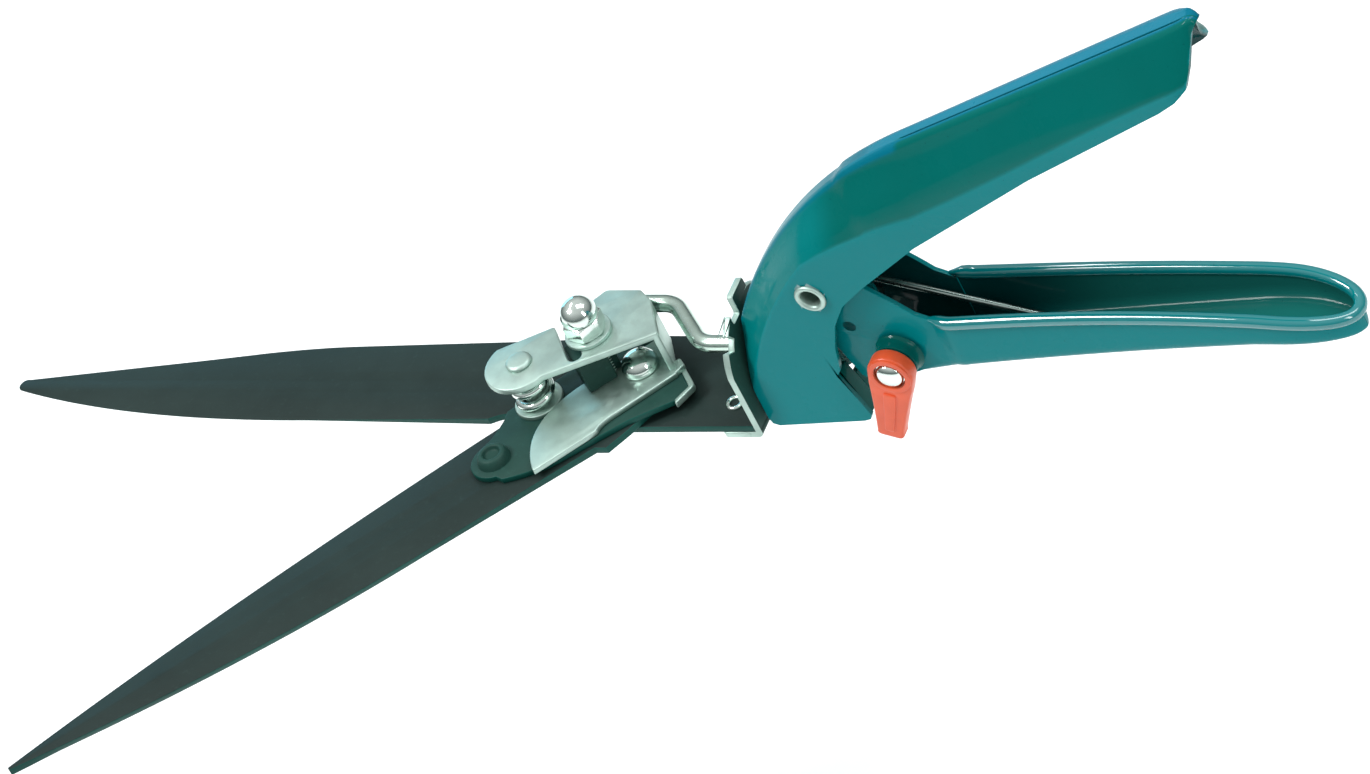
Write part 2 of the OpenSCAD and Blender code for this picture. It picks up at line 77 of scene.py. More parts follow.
def turn(degrees, axis):
    return Matrix.Rotation(math.radians(degrees), 4, axis)


# ---------------------------------------------------------------- camera and lights

RIGHT = Vector((0.8660, 0.3410, -0.3657))
UP = Vector((0, 0.7314, 0.6820))
BACK = Vector((0.5, -0.5906, 0.6334))


def make_camera():
    data = bpy.data.cameras.new("camera")
    data.lens = 338.5
    data.sensor_width = 36
    data.clip_start, data.clip_end = 0.1, 20
    cam = bpy.data.objects.new("camera", data)
    bpy.context.scene.collection.objects.link(cam)
    target = (-PIVOT + 12.2 * RIGHT - 9.4 * UP) / 1000
    m = Matrix((RIGHT, UP, BACK)).transposed().to_4x4()
    m.translation = target + 2.8 * BACK
    cam.matrix_world = m
    bpy.context.scene.camera = cam


make_camera()
bpy.context.scene.view_settings.view_transform = "Standard"


def area_light(name, place, target, size, power, colour=(1, 1, 1), size_y=None):
    data = bpy.data.lights.new(name, "AREA")
    data.energy = power
    data.color = colour
    data.shape = "RECTANGLE"
    data.size = size
    data.size_y = size_y or size
    o = bpy.data.objects.new(name, data)
    bpy.context.scene.collection.objects.link(o)
    o.location = place
    o.rotation_euler = (Vector(target) - Vector(place)).to_track_quat("-Z", "Y").to_euler()
    return o


area_light("key_light", (-0.82, -0.6, 1.25), (0, 0, 0), 0.42, 15)
area_light("rim_strip", (-0.66, 0.06, 1.12), (0.05, 0, 0), 0.9, 3, (1, 1, 1), 0.05)
area_light("top_light", (0.5, 0.35, 1.3), (0, 0, 0), 0.5, 9, (0.95, 0.99, 1.0), 1.0)
area_light("side_light", (1.3, -0.5, 0.7), (0.05, 0, 0), 0.25, 5, (1, 1, 1), 0.8)
area_light("crest_light", (-1.25, 0.95, 0.22), (0.05, 0, 0.02), 0.9, 3.5, (0.25, 0.75, 1.0), 0.5)


# ---------------------------------------------------------------- materials


class Nodes:
    """Short calls for building a node tree."""

    def __init__(self, name):
        self.material = bpy.data.materials.new(name)
        self.material.use_nodes = True
        self.tree = self.material.node_tree
        self.tree.nodes.clear()
        self.out = self.add("ShaderNodeOutputMaterial")
        self.shader = self.add("ShaderNodeBsdfPrincipled")
        self.link(self.shader, "BSDF", self.out, "Surface")
        self.coord = self.add("ShaderNodeTexCoord")

    def add(self, kind, **props):
        n = self.tree.nodes.new(kind)
        for k, v in props.items():
            setattr(n, k, v)
        return n

    def link(self, a, out, b, inp):
        self.tree.links.new(a.outputs[out], b.inputs[inp])

    def set(self, **values):
        for k, v in values.items():
            self.shader.inputs[k.replace("_", " ")].default_value = v

    def mapped(self, scale):
        m = self.add("ShaderNodeMapping")
        m.inputs["Scale"].default_value = scale
        self.link(self.coord, "Object", m, "Vector")
        return m

    def noise(self, scale, detail=3, roughness=0.5, stretch=None):
        n = self.add("ShaderNodeTexNoise")
        n.inputs["Scale"].default_value = scale
        n.inputs["Detail"].default_value = detail
        n.inputs["Roughness"].default_value = roughness
        if stretch:
            self.link(self.mapped(stretch), "Vector", n, "Vector")
        else:
            self.link(self.coord, "Object", n, "Vector")
        return n

    def ramp(self, source, out, stops):
        r = self.add("ShaderNodeValToRGB")
        e = r.color_ramp.elements
        while len(e) < len(stops):
            e.new(0.5)
        for k, (pos, colour) in enumerate(stops):
            e[k].position = pos
            e[k].color = (*colour, 1) if len(colour) == 3 else colour
        self.link(source, out, r, "Fac")
        return r

    def span(self, source, out, low, high, a=0.3, b=0.7):
        r = self.add("ShaderNodeMapRange")
        r.inputs["From Min"].default_value = a
        r.inputs["From Max"].default_value = b
        r.inputs["To Min"].default_value = low
        r.inputs["To Max"].default_value = high
        self.link(source, out, r, "Value")
        return r

    def mix(self, a, b, fac, mode="MIX"):
        """Each of a and b is a colour or (node, output); fac is a number or (node, output)."""
        m = self.add("ShaderNodeMix", data_type="RGBA", blend_type=mode)
        for value, socket in ((fac, 0), (a, 6), (b, 7)):
            if isinstance(value, tuple) and hasattr(value[0], "outputs"):
                self.tree.links.new(value[0].outputs[value[1]], m.inputs[socket])
            elif socket == 0:
                m.inputs[0].default_value = value
            else:
                m.inputs[socket].default_value = (*value, 1)
        return m

    def bump(self, source, out, strength, distance):
        b = self.add("ShaderNodeBump")
        b.inputs["Strength"].default_value = strength
        b.inputs["Distance"].default_value = distance
        self.link(source, out, b, "Height")
        self.link(b, "Normal", self.shader, "Normal")
        return b


def enamel(name, tinted=False, base=(0.0, 0.205, 0.215), dark=(0.0, 0.12, 0.125), coat=0.2, ior=1.5):
    """Gloss enamel over steel: slow changes of shade, faint orange peel and tiny specks. When tinted, a
    vertex colour with painted shade and painted reflection is mixed in.
    """
    n = Nodes(name)
    cloud = n.noise(28, 3)
    tone = n.mix(base, dark, (n.span(cloud, "Fac", 0.0, 0.55), "Result"))
    if tinted:
        # The tint layer holds the handles' own teal together with painted shade and painted reflection
        paint = n.add("ShaderNodeVertexColor", layer_name="tint")
        tone = n.mix((tone, 2), (paint, "Color"), 0.8)
    speck = n.noise(900, 2, 0.7)
    spots = n.span(speck, "Fac", 0.0, 0.55, 0.70, 0.76)
    tone = n.mix((tone, 2), (0.0, 0.05, 0.055), (spots, "Result"))
    n.link(tone, 2, n.shader, "Base Color")
    smear = n.noise(60, 4, 0.6)
    n.link(n.span(smear, "Fac", 0.22, 0.38), "Result", n.shader, "Roughness")
    n.set(Coat_Weight=coat, Coat_IOR=ior, Coat_Roughness=0.07, Specular_IOR_Level=0.02)
    peel = n.noise(650, 2)
    n.bump(peel, "Fac", 0.12, 0.0002)
    return n.material


def zinc(name, base=(0.60, 0.73, 0.68), low=0.16, high=0.34, stretch=(1, 1, 1)):
    """Bright zinc plate: metal with a cool green cast, rubbed patches and fine rolling marks."""
    n = Nodes(name)
    patch = n.noise(110, 4, 0.6)
    dull, bright = [c * 0.82 for c in base], [min(c * 1.18, 1) for c in base]
    tone = n.ramp(patch, "Fac", [(0.3, dull), (0.55, base), (0.75, bright)])
    stain = n.noise(420, 3, 0.7)
    spots = n.span(stain, "Fac", 0.0, 0.35, 0.68, 0.78)
    tone = n.mix((tone, "Color"), [c * 0.45 for c in base], (spots, "Result"))
    n.link(tone, 2, n.shader, "Base Color")
    n.set(Metallic=1.0)
    rub = n.noise(260, 4, 0.6, stretch)
    n.link(n.span(rub, "Fac", low, high), "Result", n.shader, "Roughness")
    fine = n.noise(1500, 3, 0.6, stretch)
    n.bump(fine, "Fac", 0.06, 0.0001)
    return n.material


def blade_coat(name, base=(0.010, 0.020, 0.018), light=(0.016, 0.030, 0.027)):
    """Satin dark coating on rolled steel, a little mottled and grainy."""
    n = Nodes(name)
    cloud = n.noise(45, 5, 0.65)
    tone = n.ramp(cloud, "Fac", [(0.3, base), (0.7, light)])
    grain = n.noise(700, 3, 0.6)
    flecks = n.span(grain, "Fac", 0.0, 0.3, 0.6, 0.75)
    tone = n.mix((tone, "Color"), [c * 1.6 for c in light], (flecks, "Result"))
    n.link(tone, 2, n.shader, "Base Color")
    n.link(n.span(n.noise(90, 4, 0.6), "Fac", 0.38, 0.55), "Result", n.shader, "Roughness")
    n.set(Metallic=0.0, Specular_IOR_Level=0.16)
    n.bump(n.noise(900, 3), "Fac", 0.12, 0.0001)
    return n.material


def plastic(name, base=(0.68, 0.085, 0.022)):
    """Moulded plastic: even colour, slightly cloudy, fine spark texture, a little light carried inside."""
    n = Nodes(name)
    cloud = n.noise(120, 3)
    tone = n.ramp(cloud, "Fac", [(0.3, [c * 0.85 for c in base]), (0.7, [min(c * 1.08, 1) for c in base])])
    n.link(tone, "Color", n.shader, "Base Color")
    n.link(n.span(n.noise(300, 3), "Fac", 0.30, 0.42), "Result", n.shader, "Roughness")
    n.set(Subsurface_Weight=0.08, Subsurface_Radius=(0.002, 0.0006, 0.0003), Specular_IOR_Level=0.5)
    n.bump(n.noise(2200, 2), "Fac", 0.10, 0.0001)
    return n.material


MAT = {
    "enamel": enamel("teal_enamel", tinted=True),
    "enamel_rim": enamel("teal_enamel_rim", tinted=True, coat=1.0, ior=1.8),
    "enamel_plain": enamel("teal_enamel_plain"),
    # A darker copy of the teal enamel: painted shade, for the nose flanges and the lever's seat
    "enamel_painted_shade": enamel("teal_enamel_painted_shade", base=(0.0, 0.10, 0.085), dark=(0.0, 0.045, 0.045)),
    "zinc": zinc("zinc_plate", (0.46, 0.60, 0.545), 0.42, 0.58),
    "zinc_bright": zinc("zinc_bright", (0.74, 0.84, 0.79), 0.08, 0.18),
    "zinc_rod": zinc("zinc_rod", (0.58, 0.73, 0.65), 0.12, 0.26, (0.15, 1, 1)),
    "spring": zinc("spring_steel", (0.42, 0.52, 0.49), 0.2, 0.38),
    "blade": blade_coat("blade_coating"),
    "carrier": blade_coat("carrier_coating", (0.010, 0.040, 0.032), (0.016, 0.058, 0.047)),
    # Painted highlight: the lighter teal on the side faces of the blades and the carrier
    "edge": blade_coat("edge_painted_highlight", (0.003, 0.045, 0.036), (0.005, 0.075, 0.060)),
    "orange": plastic("orange_plastic"),
}


# ---------------------------------------------------------------- mesh helpers


def finish_mesh(name, bm, xf, body, nodes, mats, sharp=32):
    bmesh.ops.remove_doubles(bm, verts=bm.verts, dist=1e-4)
    bmesh.ops.recalc_face_normals(bm, faces=bm.faces)
    bm.transform(xf)
    mesh = bpy.data.meshes.new(name)
    bm.to_mesh(mesh)
    bm.free()
    for p in mesh.polygons:
        p.use_smooth = True
    mesh.set_sharp_from_angle(angle=math.radians(sharp))
    for m in mats:
        mesh.materials.append(MAT[m])
    o = bpy.data.objects.new(name, mesh)
    bpy.context.scene.collection.objects.link(o)
    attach(o, body)
    if nodes:
        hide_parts(*nodes)
    return o


def add_rings(bm, rings, closed=True, cap=True, loop=False):
    """Joins equal rings of points into a skin."""
    rows = [[bm.verts.new(p) for p in r] for r in rings]
    n = len(rows[0])
    count = len(rows) if loop else len(rows) - 1
    for i in range(count):
        a, b = rows[i], rows[(i + 1) % len(rows)]
        for j in range(n if closed else n - 1):
            k = (j + 1) % n
            bm.faces.new((a[j], a[k], b[k], b[j]))
    if cap and closed and not loop:
        bm.faces.new(list(reversed(rows[0])))
        bm.faces.new(rows[-1])
    return rows


def add_lathe(bm, profile, xf=Matrix.Identity(4), n=64):
    """Turns (radius, height) points about Z. A closed profile makes a ring."""
    ring_sets = []
    for k in range(n):
        a = 2 * math.pi * k / n
        ring_sets.append([xf @ Vector((r * math.cos(a), r * math.sin(a), z)) for r, z in profile])
    rows = [[bm.verts.new(p) for p in r] for r in ring_sets]
    for k in range(n):
        a, b = rows[k], rows[(k + 1) % n]
        for j in range(len(profile) - 1):
            bm.faces.new((a[j], b[j], b[j + 1], a[j + 1]))


def rounded_profile(points, r=0.25, steps=3):
    """Rounds the corners of an open or closed (radius, height) profile."""
    out = []
    n = len(points)
    for i, p in enumerate(points):
        p = Vector(p)
        if i in (0, n - 1):
            out.append(tuple(p))
            continue
        a, b = Vector(points[i - 1]), Vector(points[i + 1])
        cut = min(r, (a - p).length * 0.45, (b - p).length * 0.45)
        s, e = p + (a - p).normalized() * cut, p + (b - p).normalized() * cut
        for k in range(steps + 1):
            t = k / steps
            out.append(tuple((1 - t) ** 2 * s + 2 * t * (1 - t) * p + t * t * e))
    return out


def lathe(name, parts, xf, body, nodes, mats, n=64, sharp=32):
    bm = bmesh.new()
    for profile, place in parts:
        add_lathe(bm, profile, place, n)
    return finish_mesh(name, bm, xf, body, nodes, mats, sharp)


def washer_profile(inner, outer, z0, z1, r=0.2):
    p = [(inner, (z0 + z1) / 2), (inner, z0), (outer, z0), (outer, z1), (inner, z1), (inner, (z0 + z1) / 2)]
    return rounded_profile(p, r)


def dome(radius, base, height, steps):
    """Profile of a dome from its rim to its top."""
    out = []
    for k in range(steps + 1):
        a = math.pi / 2 * k / steps
        out.append((radius * math.cos(a), base + height * math.sin(a)))
    return out


def rounded(points, r, steps=5):
    """Fillets the corners of a closed outline. r is one radius or one per corner."""
    out = []
    n = len(points)
    for i in range(n):
        p = Vector(points[i]).to_2d()
        a, b = Vector(points[i - 1]).to_2d(), Vector(points[(i + 1) % n]).to_2d()
        rad = r[i] if isinstance(r, (list, tuple)) else r
        u, v = (a - p), (b - p)
        if rad <= 0 or u.length < 1e-6 or v.length < 1e-6:
            out.append((p.x, p.y))
            continue
        half = u.angle(v) / 2
        if half > 1.5:
            out.append((p.x, p.y))
            continue
        cut = min(rad / math.tan(half), u.length * 0.48, v.length * 0.48)
        s, e = p + u.normalized() * cut, p + v.normalized() * cut
        for k in range(steps + 1):
            t = k / steps
            q = (1 - t) ** 2 * s + 2 * t * (1 - t) * p + t * t * e
            out.append((q.x, q.y))
    return out


def bezier(a, b, c, n):
    a, b, c = Vector(a), Vector(b), Vector(c)
    return [tuple((1 - t) ** 2 * a + 2 * t * (1 - t) * b + t * t * c) for t in [k / n for k in range(n + 1)]]


def arc(c, r, a0, a1, n):
    out = []
    for k in range(n + 1):
        a = math.radians(a0 + (a1 - a0) * k / n)
        out.append((c[0] + r * math.cos(a), c[1] + r * math.sin(a)))
    return out


def circle(c, r, n=48):
    return arc(c, r, 0, 360 * (n - 1) / n, n - 1)


def add_plate(bm, loops, z0, z1, edge=0.25, xf=Matrix.Identity(4), edge_slot=None):
    """A flat plate with rounded edges. The first loop is its outline, the rest are holes."""
    cu = bpy.data.curves.new("outline", "CURVE")
    cu.dimensions = "2D"
    cu.fill_mode = "BOTH"
    for loop in loops:
        sp = cu.splines.new("POLY")
        sp.points.add(len(loop) - 1)
        for p, q in zip(sp.points, loop):
            p.co = (q[0], q[1], 0, 1)
        sp.use_cyclic_u = True
    cu.extrude = (z1 - z0) / 2 - edge
    cu.bevel_depth = edge
    cu.bevel_resolution = 2
    cu.offset = -edge
    o = bpy.data.objects.new("outline", cu)
    bpy.context.scene.collection.objects.link(o)
    deps = bpy.context.evaluated_depsgraph_get()
    mesh = bpy.data.meshes.new_from_object(o.evaluated_get(deps))
    bpy.data.objects.remove(o)
    before = len(bm.faces)
    mesh.transform(xf @ to(0, 0, (z0 + z1) / 2))
    up = (xf.to_3x3() @ Vector((0, 0, 1))).normalized()
    facing = [abs(p.normal.dot(up)) for p in mesh.polygons]
    bm.from_mesh(mesh)
    bm.faces.ensure_lookup_table()
    for i, share in enumerate(facing):
        bm.faces[before + i].material_index = edge_slot if edge_slot is not None and share < 0.9 else 0
    bpy.data.meshes.remove(mesh)
    bpy.data.curves.remove(cu)


def plate(name, loops, z0, z1, xf, body, nodes, mats, edge=0.25, edge_slot=None, sharp=32):
    bm = bmesh.new()
    add_plate(bm, loops, z0, z1, edge, edge_slot=edge_slot)
    return finish_mesh(name, bm, xf, body, nodes, mats, sharp)


def add_tube(bm, path, radius, sides=20, cap=True):
    """A round bar along a path. radius is one number, or one for each point."""
    path = [Vector(p) for p in path]
    up = Vector((0, 0, 1))
    rings = []
    for i, p in enumerate(path):
        d = (path[min(i + 1, len(path) - 1)] - path[max(i - 1, 0)]).normalized()
        s = d.cross(up)
        if s.length < 0.05:
            s = d.cross(Vector((0, 1, 0)))
        s.normalize()
        up = s.cross(d).normalized()
        r = radius[i] if isinstance(radius, (list, tuple)) else radius
        angles = [2 * math.pi * k / sides for k in range(sides)]
        rings.append([p + r * (math.cos(a) * s + math.sin(a) * up) for a in angles])
    add_rings(bm, rings, cap=cap)


def soft_path(points, r, steps=6):
    """Rounds the corners of an open 3-D path."""
    out = [Vector(points[0])]
    for i in range(1, len(points) - 1):
        p, a, b = Vector(points[i]), Vector(points[i - 1]), Vector(points[i + 1])
        cut = min(r, (a - p).length * 0.45, (b - p).length * 0.45)
        s, e = p + (a - p).normalized() * cut, p + (b - p).normalized() * cut
        for k in range(steps + 1):
            t = k / steps
            out.append((1 - t) ** 2 * s + 2 * t * (1 - t) * p + t * t * e)
    out.append(Vector(points[-1]))
    return out


def add_nut(bm, across, z0, z1, bore, xf=Matrix.Identity(4), n=96, chamfer=0.5):
    """Hexagon with its corners chamfered to a cone."""
    corner = across / math.sqrt(3)
    flat = across / 2
    face = flat * 0.97
    steps = [k / 4 for k in range(5)]
    levels = [(z0 + chamfer * t, face + (corner - face) * t) for t in steps]
    levels += [(z1 - chamfer * (1 - t), face + (corner - face) * (1 - t)) for t in steps]
    rings = []
    for z, limit in levels:
        ring = []
        for k in range(n):
            a = 2 * math.pi * k / n
            m = (a + math.pi / 6) % (math.pi / 3) - math.pi / 6
            r = min(flat / math.cos(m), limit)
            ring.append(xf @ Vector((r * math.cos(a + math.pi / 6), r * math.sin(a + math.pi / 6), z)))
        rings.append(ring)
    if bore:
        for z in (z1, z0):
            angles = [2 * math.pi * k / n for k in range(n)]
            rings.append([xf @ Vector((bore * math.cos(a), bore * math.sin(a), z)) for a in angles])
        add_rings(bm, rings, loop=True)
    else:
        add_rings(bm, rings)


def plain(name, mats):
    """Gives a CAD node that keeps its own shape its finish."""
    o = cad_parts[name]
    o.data.materials.clear()
    for m in mats:
        o.data.materials.append(MAT[m])
    return o


# ---------------------------------------------------------------- upper handle

CREST_R, SLOPE = 126.0, math.radians(23.3)
JOIN = (92.0, 63.5)
CENTRE = (JOIN[0] + CREST_R * math.sin(SLOPE), JOIN[1] - CREST_R * math.cos(SLOPE))
SHEET = 1.2
HALF_W = 10.0
# Half of the crown's section: share of the half width, share of the shoulder's depth
CROWN = [(0, 0), (0.2, 0), (0.34, 0.02), (0.40, 0.055), (0.43, 0.09), (0.60, 0.34), (0.88, 0.77),
         (0.965, 0.91), (0.995, 1.03), (1, 1.25)]


def crest_height(x):
    if x < JOIN[0]:
        return CENTRE[1] + math.sqrt(CREST_R ** 2 - (x - CENTRE[0]) ** 2)
    return JOIN[1] + (x - JOIN[0]) * math.tan(SLOPE)


def under_crest(x, z):
    """How far a point lies under the crest, and the crest angle above it."""
    a = math.atan2(CENTRE[0] - x, z - CENTRE[1])
    if a > SLOPE:
        return CREST_R - math.hypot(x - CENTRE[0], z - CENTRE[1]), a
    return (x - JOIN[0]) * math.sin(SLOPE) - (z - JOIN[1]) * math.cos(SLOPE), SLOPE


def smooth(t):
    t = max(0.0, min(1.0, t))
    return t * t * (3 - 2 * t)


def shoulder(a):
    """Depth of the sloping shoulders at a crest angle."""
    return 7.2 + 7.8 * max(0.0, min(1.0, (math.radians(41.5) - a) / (math.radians(41.5) - SLOPE)))


def chaikin(points, rounds=2):
    for _ in range(rounds):
        out = [points[0]]
        for a, b in zip(points, points[1:]):
            out.append((a[0] * 0.75 + b[0] * 0.25, a[1] * 0.75 + b[1] * 0.25))
            out.append((a[0] * 0.25 + b[0] * 0.75, a[1] * 0.25 + b[1] * 0.75))
        out.append(points[-1])
        points = out
    return points


# A fine groove runs beside the crest, along the near border of the grip panel
GROOVE_DEPTH = 0.024
GROOVE = [(0.0, 0.0), (0.08, 0.0), (0.125, 0.001), (0.143, GROOVE_DEPTH), (0.171, GROOVE_DEPTH),
          (0.188, 0.004)]
PROFILE = GROOVE + chaikin([(0.21, 0.004), *CROWN[1:]], 2)

GRIP_END = 178.0

# Matched places: where a line starts on the crest and where it ends on the lower boundary
TIE = [
    (33.4, (33.4, -13.0)), (34.6, (33.9, -14.6)), (35.4, (35.4, -15.2)), (44.0, (57.0, -13.7)),
    (45.0, (58.6, -13.2)), (46.0, (59.3, -12.0)), (48.5, (58.0, -7.0)), (50.5, (56.6, -2.4)),
    (52.4, (55.8, 0.2)), (54.4, (57.4, 2.2)), (59.0, (58.9, 9.0)), (64.0, (61.7, 16.0)),
    (70.0, (66.0, 22.0)), (78.0, (72.8, 27.4)), (92.0, (90.4, 39.7)), (126.0, (126.0, 60.1)),
    (163.0, (164.5, 79.6)), (168.0, (169.4, 82.6)), (172.0, (172.9, 85.6)), (174.6, (174.4, 89.4)),
    (176.0, (175.6, 93.8)), (176.9, (176.4, 96.6)), (177.6, (177.4, 98.0)), (GRIP_END, (177.8, 98.4)),
]


def crest_lines():
    """Lines down the side of the handle, from the crest to the lower boundary."""
    out = []
    for (ta, ba), (tb, bb) in zip(TIE, TIE[1:]):
        span = max(math.dist((ta, 0), (tb, 0)), math.dist(ba, bb) * 0.7)
        n = max(2, round(span / 1.6))
        for k in range(n):
            t = k / n
            x = ta + (tb - ta) * t
            out.append(((x, crest_height(x)), (ba[0] + (bb[0] - ba[0]) * t, ba[1] + (bb[1] - ba[1]) * t)))
    x = TIE[-1][0]
    out.append(((x, crest_height(x)), TIE[-1][1]))
    return out


def end_scale(x, reach=10):
    """The handle narrows to a rounded end over its last millimetres."""
    d = GRIP_END + 0.1 - x
    if d > reach:
        return 1.0
    return 0.3 + 0.7 * math.sqrt(max(0.0, 1 - ((reach - d) / reach) ** 2))


def end_drop(x, radius=3):
    """The crest rounds down over its last millimetres."""
    t = max(0.0, x - GRIP_END + radius)
    return radius - math.sqrt(max(0.0, radius ** 2 - t * t))


def crest_share(x, w):
    """The flat along the crest is narrow over the eyelet and widens towards the end of the grip."""
    narrow = 0.68 + 0.32 * smooth((x - 60) / 115)
    return narrow + (1 - narrow) * smooth((w - 0.36) / 0.5)


def at_depth(line, q):
    """Point on a line that lies q under the crest, or the line's end."""
    (x0, z0), (x1, z1) = line
    lo, hi = 0.0, 1.0
    if under_crest(x1, z1)[0] <= q:
        return x1, z1
    for _ in range(26):
        m = (lo + hi) / 2
        if under_crest(x0 + (x1 - x0) * m, z0 + (z1 - z0) * m)[0] < q:
            lo = m
        else:
            hi = m
    return x0 + (x1 - x0) * lo, z0 + (z1 - z0) * lo


def panel_step(x, z, share):
    """The grip panel stands a little proud of the front of the crown."""
    a = under_crest(x, z)[1]
    along = CREST_R * (math.radians(32.6) - a)
    return 0.5 * (1 - smooth((along + 1.2) / 2.4)) * (1 - smooth((share - 0.8) / 0.3))


SKIRT_STEPS = 9


def crown_width(d):
    """Half width of the crown, as a share, at a share of the shoulder depth."""
    for (wa, da), (wb, db) in zip(PROFILE[5:], PROFILE[6:]):
        if d <= db:
            return wa + (wb - wa) * max(0.0, d - da) / max(db - da, 1e-6)
    return 1.0


def crown_half(line, inset, groove):
    """Half of one cross-section: points from the crest to the lower boundary."""
    (x0, _), (x1, z1) = line
    deepest = under_crest(x1, z1)[0]
    drop = end_drop(x0)
    groove *= smooth((x0 - 93) / 3) * (1 - smooth((x0 - 173) / 2))
    pts = []
    for w, d in PROFILE:
        size = shoulder(under_crest(*at_depth(line, 4))[1]) - 3.4 * smooth((x0 - 96) / 70)
        q = inset + (d if w > 0.2 else d * groove) * size + drop
        x, z = at_depth(line, q)
        q += panel_step(x, z, d)
        if q > deepest:
            w = min(w, crown_width(max(0.0, (deepest - inset - drop) / size)))
        x, z = at_depth(line, q)
        w *= crest_share(x0, w)
        pts.append((x, (w * HALF_W - inset * min(1.0, w * 1.4)) * end_scale(x), z, d))
    sx, sy, sz, _ = pts[-1]
    for k in range(1, SKIRT_STEPS + 1):
        t = k / SKIRT_STEPS
        pts.append((sx + (x1 - sx) * t, sy, sz + (z1 - sz) * t, 1.3 + t))
    return pts


# Painted reflection: the blue along the crest strip stands in for light reflected off it
CREST_REFLECTION_TINT = (0.0, 0.120, 0.205, 1)
# Painted shade: the darker green of the sloping grip panel
PANEL_SHADE_TINT = (0.0, 0.095, 0.076, 1)
NOSE_TINT = (0.0, 0.175, 0.180, 1)
# Painted shade: near black, for the groove and the far end face
DEEP_SHADE_TINT = (0.0, 0.02, 0.02, 1)
# Painted shade on the inner skin of the upper shell, near black towards the grip end
INSIDE_SHADE_TINT = (0.0, 0.09, 0.08, 1)
INSIDE_END_SHADE_TINT = (0.0, 0.012, 0.012, 1)
SIDE_TINT = (0.0, 0.185, 0.200, 1)


def shell_rows(lines, inset):
    """Rows of one skin, from the near side over the crest to the far side."""
    rows = []
    for line in lines:
        near, far = crown_half(line, inset, 1), crown_half(line, inset, 0)
        t = smooth((line[0][0] - GRIP_END + 9) / 9)
        far = [(x - 0.35 * t * y, y * (1 - 0.5 * t), z, d) for x, y, z, d in far]
        rows.append([(x, -y, z, d) for x, y, z, d in reversed(near[1:])] + far)
    return rows


def mix4(a, b, t):
    return tuple(p * (1 - t) + q * t for p, q in zip(a, b))


def crown_tint(x, y, d):
    """Colour at a place on the crown, d being its share of the shoulder's depth: the teal paint with a
    painted reflection along the crest and painted shade on the panel, in the groove and on the far end face.
    """
    # Painted shade in the near-side groove and on the far end face
    groove_shade = y < 0 and 94 < x < 174 and abs(d - GROOVE_DEPTH) < 1e-6
    end_face_shade = y > 1 and x > GRIP_END - 0.5
    if groove_shade or end_face_shade:
        return DEEP_SHADE_TINT
    # Painted reflection along the crest: a narrow band on the near side, a wider one on the far side
    crest = 1 - smooth((d - 0.0045) / 0.01) if x > 92 and y < 0 else 1 - smooth((d - 0.06) / 0.06)
    side = smooth((d - 0.90) / 0.05)
    # Painted shade on the shoulders, giving way to the plain teal of the sides; towards the front it fades
    # to a lighter teal
    panel = mix4(PANEL_SHADE_TINT, SIDE_TINT, side)
    front = smooth((74 - x) / 10) * (1 - side)
    panel = mix4(panel, NOSE_TINT, front * 0.7)
    return mix4(panel, CREST_REFLECTION_TINT, crest * (0.55 + 0.45 * smooth((x - 60) / 40)))


def make_upper_handle():
    bm = bmesh.new()
    tint = bm.verts.layers.float_color.new("tint")
    lines = crest_lines()
    outer, inner = shell_rows(lines, 0), shell_rows(lines, SHEET)
    n = len(outer[0])

    def add(rows, inside):
        out = []
        for row in rows:
            line = []
            for x, y, z, d in row:
                v = bm.verts.new((x, y, z))
                # Painted shade: the inner skin is darker, near black towards the grip end
                skin = INSIDE_END_SHADE_TINT if x > 160 else INSIDE_SHADE_TINT
                v[tint] = skin if inside else crown_tint(x, y, d)
                line.append(v)
            out.append(line)
        return out

    a, b = add(outer, False), add(inner, True)
    for i in range(len(a) - 1):
        for j in range(n - 1):
            bm.faces.new((a[i][j], a[i][j + 1], a[i + 1][j + 1], a[i + 1][j]))
            bm.faces.new((b[i][j], b[i + 1][j], b[i + 1][j + 1], b[i][j + 1]))
        for j in (0, n - 1):
            bm.faces.new((a[i][j], a[i + 1][j], b[i + 1][j], b[i][j]))
    for i in (0, len(a) - 1):
        for j in range(n - 1):
            bm.faces.new((a[i][j], b[i][j], b[i][j + 1], a[i][j + 1]))
    bmesh.ops.remove_doubles(bm, verts=bm.verts, dist=1e-3)
    bmesh.ops.dissolve_degenerate(bm, dist=1e-3, edges=bm.edges)
    o = finish_mesh("upper_shell", bm, TOOL, "upper_handle", ["upper_handle"], ["enamel"], 40)
    cutter_bm = bmesh.new()
    add_tube(cutter_bm, [(PIVOT.x, -20, PIVOT.z), (PIVOT.x, 20, PIVOT.z)], 2.9, 48)
    cutter_bm.transform(TOOL)
    mesh = bpy.data.meshes.new("cutter")
    bmesh.ops.recalc_face_normals(cutter_bm, faces=cutter_bm.faces)
    cutter_bm.to_mesh(mesh)
    cutter_bm.free()
    cutter = bpy.data.objects.new("cutter", mesh)
    bpy.context.scene.collection.objects.link(cutter)
    mod = o.modifiers.new("eyelet_hole", "BOOLEAN")
    mod.object = cutter
    mod.operation = "DIFFERENCE"
    mod.solver = "EXACT"
    deps = bpy.context.evaluated_depsgraph_get()
    new = bpy.data.meshes.new_from_object(o.evaluated_get(deps))
    o.modifiers.clear()
    bpy.data.objects.remove(cutter)
    o.data = new
    new.set_sharp_from_angle(angle=math.radians(40))
    return o


make_upper_handle()


